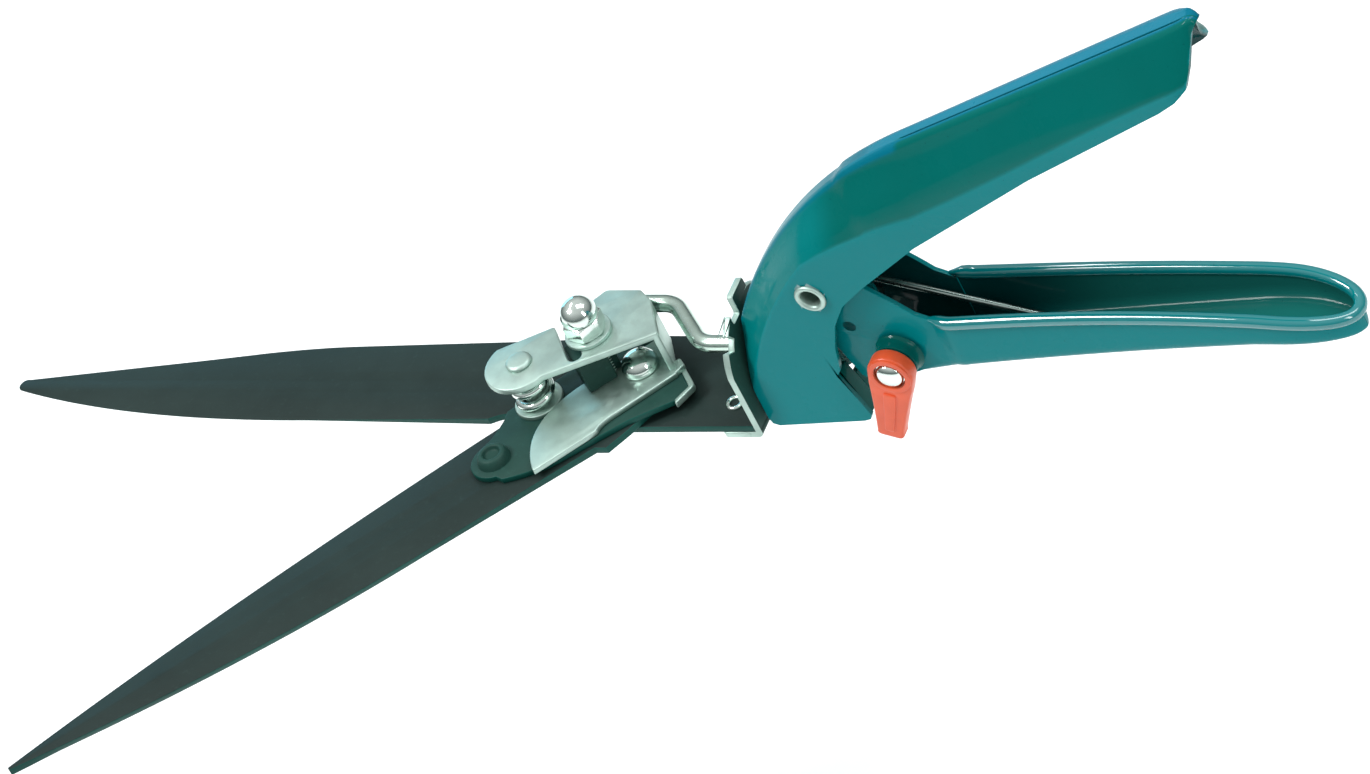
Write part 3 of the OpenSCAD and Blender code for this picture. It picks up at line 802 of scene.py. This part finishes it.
def make_flanges():
    """Inward flanges along the rear edge of the nose, one on each side."""
    edge = [(57.4, -5), (59.3, -11.9), (58.1, -12.2), (56.2, -5.2)]
    upper = rounded([(55.8, 0.2), *edge, (54.6, -0.1)], [0.3, 3, 0.3, 0.3, 3, 0.3])
    lower = rounded([(57, -3.7), *edge, (55.7, -3.7)], [0.2, 3, 0.3, 0.3, 3, 0.2])
    bm = bmesh.new()
    for s in (1, -1):
        add_plate(bm, [upper], *sorted((5 * s, 8.9 * s)), 0.3, turn(90, "X"))
        add_plate(bm, [lower], *sorted((3 * s, 5.1 * s)), 0.3, turn(90, "X"))
    # The flanges take the darker enamel: painted shade
    finish_mesh("nose_flanges", bm, TOOL, "upper_handle", ["upper_handle"], ["enamel_painted_shade"])


make_flanges()

# Hollow rivet with rolled lips on both sides
EYELET = to(PIVOT.x, 0, PIVOT.z) @ turn(90, "X")


def eyelet_side(s):
    lip = [(2.2, 0), (2.2, 9.4), (2.35, 10.5), (2.75, 10.85), (3.25, 10.9), (3.6, 10.6), (3.7, 10.1),
           (2.9, 9.95), (2.9, 0)]
    return rounded_profile([(r, y * s) for r, y in lip], 0.3)


lathe("eyelet", [(eyelet_side(1), EYELET), (eyelet_side(-1), EYELET)], TOOL, "upper_handle",
      ["pivot_eyelet"], ["zinc"])
lathe("spool", [(washer_profile(2.95, 4, -5.8, 5.8, 0.3), EYELET)], TOOL, "upper_handle",
      ["spring_spool"], ["spring"])


# ---------------------------------------------------------------- springs

COIL_R, WIRE = 5.1, 1.6


def make_return_spring():
    turns = 4.6
    pitch = WIRE + 0.2
    points = []
    count = int(turns * 40)
    start = math.radians(150)
    for k in range(count + 1):
        a = start + 2 * math.pi * turns * k / count
        y = -pitch * turns / 2 + pitch * turns * k / count
        points.append(PIVOT + Vector((COIL_R * math.cos(a), y * 0.86, COIL_R * math.sin(a))))
    upper = [PIVOT + Vector(p) for p in ((31, -3.2, 33), (30, -3.2, 32.0), (4, -3.3, 9.5))]
    upper += [points[0] + Vector((-1, 0, 2.2)), points[0]]
    bm = bmesh.new()
    add_tube(bm, soft_path(upper, 3) + points[1:], WIRE / 2, 16)
    finish_mesh("return_coil", bm, TOOL, "upper_handle", ["return_spring"], ["spring"])
    bm = bmesh.new()
    leg = [PIVOT + Vector((x, 3.2, z)) for x, z in ((-1.6, -4.95), (6, -7.3), (44.6, -19.95), (46.4, -20.2))]
    add_tube(bm, soft_path(leg, 2), WIRE / 2, 16)
    finish_mesh("return_leg", bm, TOOL, "lower_handle", ["return_spring"], ["spring"])


make_return_spring()


def make_post_spring():
    wire, turns = 2.0, 3.1
    z0, z1 = CARRIER_TOP + 1.2 + wire / 2, ARM_BOTTOM - wire / 2
    count = int(turns * 44)
    pts = []
    for k in range(count + 1):
        t = k / count
        a = 2 * math.pi * turns * t
        z = z0 + (z1 - z0) * max(0.0, min(1.0, (t * turns - 0.5) / (turns - 1.0)))
        pts.append(Vector((POST.x + 3.9 * math.cos(a), POST.y + 3.9 * math.sin(a), z)))
    bm = bmesh.new()
    add_tube(bm, pts, wire / 2, 18)
    finish_mesh("post_coil", bm, MOVING, "moving_blade", ["post_spring"], ["zinc_bright"])


make_post_spring()


# ---------------------------------------------------------------- blades and head

BLADE_REACH = 163  # from the blade bolt to a tip


def fixed_outline():
    tip = -BLADE_REACH
    return (
        [(31.2, -13.3), (31.2, 13.4), (0, 13.8), (-37, 12.1), (-62, 11.3)]
        + bezier((-80, 10.7), (-92, 10.2), (-106, 8.1), 10)
        + bezier((-118, 6.4), (-140, 3.5), (tip + 2.4, 0.7), 8)
        + arc((tip + 2.0, -1.1), 1.85, 100, 240, 8)
        + bezier((tip + 3.0, -3.3), (-128, -12.1), (-84, -11.7), 24) + [(-36.5, -11.2)]
        + bezier((-34.6, -10.3), (-33, -9.6), (-31, -9.6), 5)
        + bezier((-23, -9.6), (-21, -9.8), (-19, -10.6), 5)
        + bezier((-14, -12.6), (-12, -13.2), (-9, -13.3), 5) + [(0, -13.6)]
    )


def make_blade(name, outline, z0, xf, body, node, slope, start):
    """A blade whose near edge is ground back on its underside, from start to the tip."""
    z1 = z0 + BLADE_T
    bm = bmesh.new()
    add_plate(bm, [outline, circle((0, 0), 3.05)], z0, z1, 0.22, edge_slot=1)
    for v in bm.verts:
        v.co.y += (z1 - v.co.z) * slope * smooth((-v.co.y - 0.4) / 3) * smooth((start - v.co.x) / 4)
    finish_mesh(name, bm, xf, body, [node], ["blade", "edge"])


make_blade("lower_blade", fixed_outline(), FIXED_TOP - BLADE_T, TOOL, "head", "fixed_blade", 0.9, -38)


def moving_outline():
    tip = -BLADE_REACH
    return (
        [(6.6, -4.5), (6.6, 4.5), (2, 9.5), (-12, 11.4), (-30, 11.3)]
        + bezier((-39, 11), (-110, 8), (tip, 0.2), 28)
        + bezier((tip, -0.8), (-108, -11.7), (-62, -11.7), 28)
        + [(-18.5, -11.8), (-16.4, -13.9), (-9.9, -12.5), (0, -9.6)]
    )


make_blade("upper_blade", moving_outline(), MOVING_BOTTOM, MOVING, "moving_blade", "moving_blade", 0.45, -20)

STROKE, OFFSET = 10.2, 12.1
SLOT_R = math.hypot(STROKE / 2, OFFSET)
SLOT_DIR = math.degrees(math.atan2(OFFSET, STROKE / 2))


def oblong(c, direction, r0, r1, r, n=12):
    d = math.radians(direction)
    u = (math.cos(d), math.sin(d))
    a = (c[0] + r0 * u[0], c[1] + r0 * u[1])
    b = (c[0] + r1 * u[0], c[1] + r1 * u[1])
    return arc(b, r, direction - 90, direction + 90, n) + arc(a, r, direction + 90, direction + 270, n)


def carrier_outline():
    return (
        [(6.8, -4.5), (5.9, -12.6), (1.5, -14.1), (-9, -11.6)]
        + bezier((-24, -10.4), (-32, -10.2), (-39, -6.1), 6)
        + arc((-37.8, 1), 5.6, 250, 110, 12)
        + bezier((-36, 7.4), (-32.5, 9.6), (-31, 10.9), 5)
        + [(-29.4, 12.8), (-14, 13.3), (-2, 13)] + arc((6, 13.1), 3.6, 130, 0, 10) + [(7, 6)]
    )


PIN_SLOT = oblong((0, 0), SLOT_DIR, SLOT_R - 1.5, SLOT_R + 0.5, 1.7)
plate("carrier", [carrier_outline(), PIN_SLOT, circle((0, 0), 3.05)], MOVING_TOP, CARRIER_TOP, MOVING,
      "moving_blade", ["carrier_plate"], ["carrier", "edge"], 0.25, 1)


BEND_NEAR, BEND_FAR = (5.9, -6.9), (9.1, 4.3)  # ends of the bracket's upright web


def arm_outline():
    """The raised arm, with an open slot in its far side for the adjuster."""
    corners = [BEND_NEAR, BEND_FAR, (8.7, 9), (2.6, 15.2), (-1.4, 14.6), (-8.0, 13.8)]
    slot_end = arc((-11.6, 1.6), 1.7, -9, -189, 10)
    round_end = arc((POST.x, POST.y), 8.2, 106, 286, 20)
    radii = [0.8, 0.8, 1.5, 1.5, 1.5, 0.8] + [0] * 11 + [0.8] + [0] * 21
    return rounded(corners + slot_end + [(-11.35, 13.78)] + round_end, radii)


def leaf_outline():
    """The leaf that lies on the carrier."""
    return (
        [(5.2, -8.2)] + bezier((-12, -8.9), (-14.5, -9.0), (-15.6, -9.9), 4)
        + bezier((-16.4, -10.5), (-18, -10.7), (-20, -10.7), 4) + [(-32.5, -11)]
        + bezier((-32.4, -9.6), (-29, 4.6), (-13, 5.5), 16) + [(7, 5.4), (8, 4.3), BEND_NEAR]
    )


def make_bracket():
    bm = bmesh.new()
    add_plate(bm, [arm_outline()], ARM_BOTTOM, ARM_TOP, 0.3)
    add_plate(bm, [leaf_outline(), circle((0, 0), 3.1)], CARRIER_TOP, LEAF_TOP, 0.3)
    web = Vector((BEND_FAR[0] - BEND_NEAR[0], BEND_FAR[1] - BEND_NEAR[1], 0))
    length = web.length
    across = web.normalized()
    xf = Matrix((across, Vector((0, 0, 1)), across.cross(Vector((0, 0, 1))))).transposed().to_4x4()
    xf.translation = Vector((*BEND_NEAR, 0))
    top = ARM_TOP - 0.3
    outline = rounded([(0, CARRIER_TOP), (length, CARRIER_TOP), (length, top), (0, top)], 0.5, 3)
    add_plate(bm, [outline], -1.5, 0.0, 0.3, xf)
    lip = [(7.9, -4.4), (7.2, -13.3), (1.2, -15.4), (1.7, -14.1), (5.9, -12.6), (6.8, -4.5)]
    add_plate(bm, [rounded(lip, [0.4, 1.6, 0.3, 0.2, 0.8, 0.4])], MOVING_TOP, MOVING_TOP + 1.7, 0.25)
    corner = rounded([(5.2, -8), (7.9, -7), (7.9, -4.4), (5.5, -4)], 0.4)
    add_plate(bm, [corner], CARRIER_TOP, LEAF_TOP, 0.25)
    finish_mesh("bracket", bm, MOVING, "moving_blade", ["bridge_bracket"], ["zinc"])


make_bracket()

# Stepped rivet that holds the moving blade to its carrier
RIVET_HEAD = [(0, 1.2), (1.7, 1.2), (2.1, 2.3), (3.1, 2.1), (3.6, 1.1), (3.9, 0)]
POST_SHAPE = [(2.5, MOVING_TOP + 0.1), (2.5, ARM_TOP - 0.1), (3.0, ARM_TOP), (3.05, ARM_TOP + 0.45),
              (2.5, ARM_TOP + 1.0), (0, ARM_TOP + 1.12)]
lathe("carrier_rivet_head", [(rounded_profile(RIVET_HEAD, 0.4), to(-37.8, 1, CARRIER_TOP))], MOVING,
      "moving_blade", ["carrier_rivet"], ["carrier"])
lathe("post_head", [(rounded_profile(POST_SHAPE, 0.4), to(*POST))], MOVING, "moving_blade",
      ["bridge_post"], ["zinc"])
lathe("post_base", [(washer_profile(2.5, 5.6, CARRIER_TOP, CARRIER_TOP + 1.2, 0.35), to(*POST))],
      MOVING, "moving_blade", ["post_washer"], ["zinc"])
lathe("adjuster_ring", [(washer_profile(2.5, 5.4, ARM_TOP, ARM_TOP + 1, 0.3), to(*ADJUSTER))],
      MOVING, "moving_blade", ["adjuster_washer"], ["zinc"])


def make_acorn():
    bm = bmesh.new()
    place = to(ADJUSTER.x, ADJUSTER.y, ARM_TOP + 1)
    add_nut(bm, 8.14, 0, 4.0, 0, place)
    profile = [(3.6, 3.6), (3.6, 4.3), (3.4, 4.5), (3.7, 4.8)]
    for k in range(17):
        a = math.radians(-12 + 102 * k / 16)
        profile.append((4.3 * math.cos(a), 5.2 + 4.1 * math.sin(a)))
    add_lathe(bm, profile, place)
    finish_mesh("acorn", bm, MOVING, "moving_blade", ["acorn_nut"], ["zinc_bright"])
    bm = bmesh.new()
    z = LEAF_TOP
    profile = [(0, LEAF_TOP), (2.3, LEAF_TOP)]
    while z < ARM_TOP + 3.4:
        profile += [(2.5, z + 0.2), (2.5, z + 0.35), (2.2, z + 0.6), (2.2, z + 0.75)]
        z += 0.8
    add_lathe(bm, profile + [(0, z)], to(*ADJUSTER), 40)
    finish_mesh("adjuster_stud", bm, MOVING, "moving_blade", ["adjuster_bolt"], ["zinc"])


make_acorn()


def make_spacer():
    bm = bmesh.new()
    full = rounded([(-6.2, -4.3), (0.8, -4.3), (0.8, -2), (3, -2), (3, 2.7), (-6.2, 2.7)], 0.5, 3)
    place = to(ADJUSTER.x, ADJUSTER.y, 0)
    add_plate(bm, [full], LEAF_TOP, ARM_BOTTOM, 0.3, place)
    low = rounded([(-6.2, 0.4), (3, 0.4), (3, 2.7), (-6.2, 2.7)], 0.3, 3)
    add_plate(bm, [low], CARRIER_TOP, LEAF_TOP + 0.6, 0.2, place)
    finish_mesh("spacer", bm, MOVING, "moving_blade", ["bridge_spacer"], ["carrier"])


make_spacer()

# Domed blade bolt with a flange, its washer and its nut
BOLT = [(3.0, -19.3), (3.0, LEAF_TOP + 0.1), (4.3, LEAF_TOP + 0.12), (4.3, LEAF_TOP + 0.75)]
BOLT_END = [(0, -19.4), (2.7, -19.4), (3.0, -19.1)]
lathe("bolt", [(rounded_profile(BOLT, 0.15) + dome(4.25, LEAF_TOP + 0.85, 3.1, 14), Matrix.Identity(4)),
               (BOLT_END, Matrix.Identity(4))], TOOL, "head", ["pivot_bolt"], ["zinc_bright"])
lathe("bolt_ring", [(washer_profile(3.0, 5.6, -14.8, -13.8, 0.25), Matrix.Identity(4))], TOOL, "head",
      ["bolt_washer"], ["zinc"])


def make_bolt_nut():
    bm = bmesh.new()
    add_nut(bm, 9.7, -18.8, -14.8, 3.0)
    finish_mesh("bolt_nut", bm, TOOL, "head", ["pivot_nut"], ["zinc"])


make_bolt_nut()


TANG_RIVETS = (24.2, (-6.5, 6.5))


def make_front_plate():
    """The notched disc with its bent foot. Its rear face takes the dark carrier coating."""
    bm = bmesh.new()
    x0, t = 31.2, 1.6
    xf = to(x0, 0, 0) @ turn(90, "Z") @ turn(90, "X")
    outline = [(-13.5, -13.6), (13.5, -13.6)]
    rim_r, notch_r, notch_half = 13.9, 11.4, 1.7
    for a in range(12, 169):
        notched = any(abs(a - c) < math.degrees(notch_half / rim_r) for c in (45, 135))
        r = notch_r if notched else rim_r
        outline.append((r * math.cos(math.radians(a)), r * math.sin(math.radians(a))))
    tab = [(5.2, 12.9), (5.2, 15.8), (-1.2, 15.8), (-1.2, 12.0), (-1.2, 11.0), (-4.6, 11.0), (-4.6, 13.1)]
    body = [p for p in outline if not (-4.6 <= p[0] <= 5.2 and p[1] > 10)]
    split = max(i for i, p in enumerate(body) if p[0] > 5.2 and p[1] > 0) + 1
    loop = body[:split] + rounded(tab, [0.2, 0.9, 0.9, 0.2, 0.5, 0.5, 0.2], 3) + body[split:]
    add_plate(bm, [loop, circle((0, 0), 3.7)], 0, t, 0.3, xf)
    foot = [(29.6, -13.5), (23.5, -13.5), (20.6, -10.5), (20.6, 10.5), (23.5, 13.5), (29.6, 13.5)]
    foot = rounded(foot, [0, 0.8, 0.8, 0.8, 0.8, 0])
    add_plate(bm, [foot, *[circle((TANG_RIVETS[0], y), 1.9) for y in TANG_RIVETS[1]]], -15.4, -13.8, 0.3)
    bend = [(29.0, -15.4)] + arc((x0, -13.8), t, 270, 360, 8)
    bend += [(x0 + t, -13.0), (x0, -13.0), (x0, -13.8), (29.0, -13.8)]
    add_plate(bm, [bend], -13.4, 13.4, 0.12, turn(90, "X"))
    for f in bm.faces:
        if abs(f.normal.x) > 0.9 and f.calc_center_median().x > 32:
            f.material_index = 1
    finish_mesh("swivel_plate", bm, TOOL, "head", ["front_plate"], ["zinc", "carrier"])


make_front_plate()

ALONG_X = turn(90, "Y")
SLEEVE = [(2.7, 30.3), (4.6, 30.3), (4.6, 31.15), (3.6, 31.2), (3.6, 36.1), (3.1, 36.15), (3.1, 36.95),
          (3.6, 37.0), (3.6, 38.6), (2.05, 38.6), (2.05, 32.6), (2.7, 30.3)]
lathe("swivel_sleeve", [(rounded_profile(SLEEVE, 0.2), ALONG_X)], TOOL, "head",
      ["swivel_tube"], ["zinc"])
lathe("swivel_ring", [(washer_profile(3.0, 5.4, 36.15, 36.95, 0.2), ALONG_X)], TOOL, "head",
      ["retaining_ring"], ["zinc"])


def make_tang_rivets():
    bm = bmesh.new()
    top = [(1.2, -14), (1.2, -11.6), (1.45, -11.35), (1.9, -11.3), (2.2, -11.6), (2.25, -12.0), (1.9, -12.0)]
    low = [(1.2, -14), (1.2, -16.0), (2.6, -16.0), (3.0, -15.7), (3.0, -15.4), (1.9, -15.4)]
    for y in TANG_RIVETS[1]:
        for profile in (top, low):
            add_lathe(bm, rounded_profile(profile, 0.2), to(TANG_RIVETS[0], y, 0), 40)
    finish_mesh("tang_rivet_heads", bm, TOOL, "head", ["tang_rivets"], ["zinc_bright"])


make_tang_rivets()


# ---------------------------------------------------------------- pull rod


def make_rod():
    bm = bmesh.new()
    pin_x = -STROKE / 2
    end = PIVOT.x - STROKE / 2 + 7.2
    path = soft_path([(end, 0, 0), (18.2, 0, 0), (7.1, OFFSET, 0), (pin_x + 0.5, OFFSET, 0)], 3.2, 10)
    add_tube(bm, path, 2.0, 28)
    down = soft_path([(pin_x + 2.4, OFFSET, 0), (pin_x, OFFSET, 0), (pin_x, OFFSET, -8.4)], 2.2, 8)
    radii = [2.0 if p.z > -0.6 else max(1.5, 2.0 - 0.25 * (-0.6 - p.z)) for p in down]
    add_tube(bm, down, radii, 28)
    finish_mesh("rod", bm, TOOL, "pull_rod", ["pull_rod"], ["zinc_rod"])
    yoke = PIVOT.x - STROKE / 2
    collars = [washer_profile(2.0, 3.9, yoke + a, yoke + b, 0.3) for a, b in ((-5, -3.2), (3.2, 5))]
    lathe("rod_stops", [(c, ALONG_X) for c in collars], TOOL, "pull_rod", ["rod_collars"], ["zinc"])


make_rod()


# ---------------------------------------------------------------- lower handle


# Where the lower grip's stretches begin: cheeks, trough, tapered rear, rounded cap and its end
CHEEK_X, TROUGH_X, TAPER_X, CAP_X, REAR_X = 64, 88, 158, 164, 182


def lower_station(x):
    """Bottom height, rim height and half width of the lower handle's trough."""
    if x <= TROUGH_X:
        u = (x - CHEEK_X) / (TROUGH_X - CHEEK_X)
        bottom, rim = -4.2 + 4.4 * u, 16.9 - 2.7 * u
    elif x <= TAPER_X:
        u = (x - TROUGH_X) / (TAPER_X - TROUGH_X)
        bottom, rim = 0.2 + 7.2 * u - 1.2 * u * u, 14.2 + 1.3 * math.sin(math.radians(u * 150))
    else:
        s = min(1.0, (x - TAPER_X) / (REAR_X - TAPER_X))
        bottom, rim = 6.2 - 1.0 * s * s, 14.85 - 1.2 * s - 3.0 * s * s
    joggle = 0.72 * (1 - smooth((x - 83.6) / 3.2))
    waist = 0.3 * math.sin(math.pi * max(0.0, min(1.0, (x - TROUGH_X) / (TAPER_X - TROUGH_X))))
    w = 7.9 - joggle - waist
    if x > CAP_X:
        w *= max(0.0, 1 - ((x - CAP_X) / (REAR_X - CAP_X)) ** 2) ** 0.42
    return bottom, rim, max(w, 0.05)


FLOOR = [(0.0, 0), (0.30, 0.0), (0.58, 0.06), (0.80, 0.35), (0.92, 0.95), (0.98, 1.9), (1.0, 3.0)]


def trough_row(x, inset, steps=6):
    bottom, rim, w = lower_station(x)
    w = max(w - inset, 0.02)
    pts = [(x, share * w, bottom + inset + rise) for share, rise in FLOOR]
    start = pts[-1][2]
    for k in range(1, steps + 1):
        pts.append((x, w, start + (rim - start) * k / steps))
    return [(a, -b, c) for a, b, c in reversed(pts[1:])] + pts


# Painted shade inside the lower handle: near black at the front, dark green along the trough
FRONT_SHADE_TINT = (0.0, 0.006, 0.006, 1)
TROUGH_SHADE_TINT = (0.010, 0.105, 0.085, 1)


def make_lower_handle():
    bm = bmesh.new()
    tint = bm.verts.layers.float_color.new("tint")
    start, cap = 66, REAR_X - CAP_X
    xs = [start + (CAP_X - start) * k / 70 for k in range(70)]
    xs += [CAP_X + cap * math.sin(math.radians(90 * k / 16)) for k in range(17)]
    outer = [trough_row(x, 0) for x in xs]
    inner = [trough_row(x - max(0.0, x - CAP_X) / cap, 1.0) for x in xs]
    add_rings(bm, outer, closed=False)
    add_rings(bm, inner, closed=False)
    bm.verts.ensure_lookup_table()
    count = len(xs) * len(outer[0])
    for k in range(count):
        bm.verts[k][tint] = SIDE_TINT
        # Painted shade on the inner skin: near black at the front, dark green further back
        v = bm.verts[count + k]
        v[tint] = mix4(FRONT_SHADE_TINT, TROUGH_SHADE_TINT, smooth((v.co.x - 92) / 34))
    first = [[Vector(p) for p in outer[0]], [Vector(p) for p in inner[0]]]
    add_rings(bm, first, closed=False)
    path = []
    for x in [x for x in xs if x > 82.4]:
        _, rim, w = lower_station(x)
        path.append(Vector((x, w - 0.3, rim)))
    path = [p for p in path if p.y > 0.3]
    x, y, z = path[-1]
    tip = [Vector((x, y * 0.6, z - 0.02)), Vector((x + 0.15, 0, z - 0.03)), Vector((x, -y * 0.6, z - 0.02))]
    whole = path + tip + [Vector((p.x, -p.y, p.z)) for p in reversed(path)]
    radii = [1.5 * smooth((p.x - 80.5) / 6) for p in whole]
    before = len(bm.faces)
    add_tube(bm, whole, radii, 24)
    bm.faces.ensure_lookup_table()
    for f in bm.faces[before:]:
        f.material_index = 1
    corners = [(53, 14), (57.5, 6), (60.0, -2.6), (65, -4.6), (84.6, 2.6), (84.6, 14.2), (83.5, 14.6)]
    cheek = arc((PIVOT.x, PIVOT.z), 5.8, 60, 190, 20) + rounded(corners, [1.5, 2, 2, 2, 0, 0, 0])
    cheek += bezier((80, 16.4), (74, 23), (65, 29.4), 8)
    hole = circle((PIVOT.x, PIVOT.z), 2.95)
    for y0, y1 in ((-7.2, -6.0), (6.0, 7.2)):
        add_plate(bm, [cheek, hole], -y1, -y0, 0.2, turn(90, "X"))
    bm.verts.ensure_lookup_table()
    # Painted shade: near black on the cheeks' inner faces
    for k in range(2 * count, len(bm.verts)):
        v = bm.verts[k]
        v[tint] = FRONT_SHADE_TINT if abs(v.co.y) < 6.1 and v.co.x < 85 else SIDE_TINT
    finish_mesh("lower_shell", bm, TOOL, "lower_handle", ["lower_handle"],
                ["enamel", "enamel_rim"], 40)


make_lower_handle()

LEVER = to(LEVER_AT.x, 0, LEVER_AT.z) @ turn(90, "X")
LEVER_SEAT = [(2.0, 7.95), (5.7, 7.95), (5.2, 8.6), (4.9, 9.6), (4.9, 11.05), (2.0, 11.1)]
# The lever's seat takes the darker enamel: painted shade
lathe("lever_seat", [(rounded_profile(LEVER_SEAT, 0.4), LEVER)], TOOL, "lower_handle",
      ["lever_boss"], ["enamel_painted_shade"])
lathe("lever_shim", [(washer_profile(2.0, 4.0, 11.1, 11.5, 0.12), LEVER)], TOOL, "lower_handle",
      ["lever_washer"], ["zinc"])


def make_lever():
    lean = 21.5
    y0 = 11.6
    place = LEVER @ turn(-lean, "Z")
    bm = bmesh.new()
    end = -20.5
    outline = (arc((0, 0), 5.2, -8, 188, 28) + bezier((-4.9, -4), (-3.9, -10), (-3, end + 1.2), 8)
               + arc((-2, end + 1.1), 1.1, 190, 270, 4) + arc((2, end + 1.1), 1.1, 270, 350, 4)
               + bezier((3, end + 1.2), (3.9, -10), (4.9, -4), 8))
    add_plate(bm, [outline, circle((0, 0), 3.7)], y0, y0 + 3.4, 0.55, place)
    add_plate(bm, [circle((0, 0), 3.9), circle((0, 0), 2.05)], y0, y0 + 2.2, 0.12, place)
    add_lathe(bm, washer_profile(3.6, 4.9, y0 + 2.9, y0 + 3.75, 0.3), place)
    rib = rounded([(-1.5, -6.0), (1.5, -6.0), (1.1, -18.2), (-1.1, -18.2)], 0.6, 3)
    add_plate(bm, [rib], y0 + 3.0, y0 + 3.75, 0.3, place)
    finish_mesh("lever", bm, TOOL, "lock_lever", ["lock_lever"], ["orange"])
    head = rounded_profile([(2.0, 3.1), (2.0, y0 + 2.3), (3.35, y0 + 2.35), (3.4, y0 + 2.9)], 0.15)
    head += dome(3.15, y0 + 2.95, 1.75, 10)
    lathe("lever_screw_head", [(head, LEVER)], TOOL, "lower_handle", ["lever_screw"], ["zinc_bright"])
    bm = bmesh.new()
    add_nut(bm, 6.93, 3.4, 6.0, 2.0, LEVER)
    finish_mesh("lever_nut_body", bm, TOOL, "lower_handle", ["lever_nut"], ["zinc"])


make_lever()

for node, mats in (("bearing_plate", ["carrier"]), ("index_spring", ["spring"]), ("index_rivet", ["zinc"]),
                   ("pull_yoke", ["spring"]), ("yoke_rivets", ["enamel_plain"])):
    plain(node, mats)


# ---------------------------------------------------------------- floor and surroundings


FLOOR_DROP = 0.105  # metres below the tool, so that the open blades clear it when the head is turned


def make_floor():
    n = Nodes("floor_paper")
    tone = n.ramp(n.noise(3, 2), "Fac", [(0.3, (0.93, 0.935, 0.935)), (0.7, (0.96, 0.965, 0.965))])
    n.link(tone, "Color", n.shader, "Base Color")
    n.set(Roughness=0.85, Specular_IOR_Level=0.2)
    n.bump(n.noise(400, 3), "Fac", 0.05, 0.0002)
    bm = bmesh.new()
    z = CAD_BOX[0][2] - FLOOR_DROP
    bmesh.ops.create_grid(bm, x_segments=8, y_segments=8, size=6)
    bm.transform(to(0, 0, z))
    mesh = bpy.data.meshes.new("floor")
    bm.to_mesh(mesh)
    bm.free()
    mesh.materials.append(n.material)
    o = bpy.data.objects.new("floor", mesh)
    bpy.context.scene.collection.objects.link(o)


make_floor()


def make_world():
    world = bpy.data.worlds.new("studio")
    bpy.context.scene.world = world
    world.use_nodes = True
    t = world.node_tree
    t.nodes.clear()
    out = t.nodes.new("ShaderNodeOutputWorld")
    back = t.nodes.new("ShaderNodeBackground")
    coord = t.nodes.new("ShaderNodeTexCoord")
    split = t.nodes.new("ShaderNodeSeparateXYZ")
    ramp = t.nodes.new("ShaderNodeValToRGB")
    ramp.color_ramp.elements[0].position = 0.0
    ramp.color_ramp.elements[0].color = (0.10, 0.14, 0.14, 1)
    ramp.color_ramp.elements[1].position = 0.8
    ramp.color_ramp.elements[1].color = (1.0, 1.0, 1.0, 1)
    t.links.new(coord.outputs["Generated"], split.inputs[0])
    t.links.new(split.outputs["Z"], ramp.inputs["Fac"])
    t.links.new(ramp.outputs["Color"], back.inputs["Color"])
    back.inputs["Strength"].default_value = 0.75
    t.links.new(back.outputs["Background"], out.inputs["Surface"])


make_world()
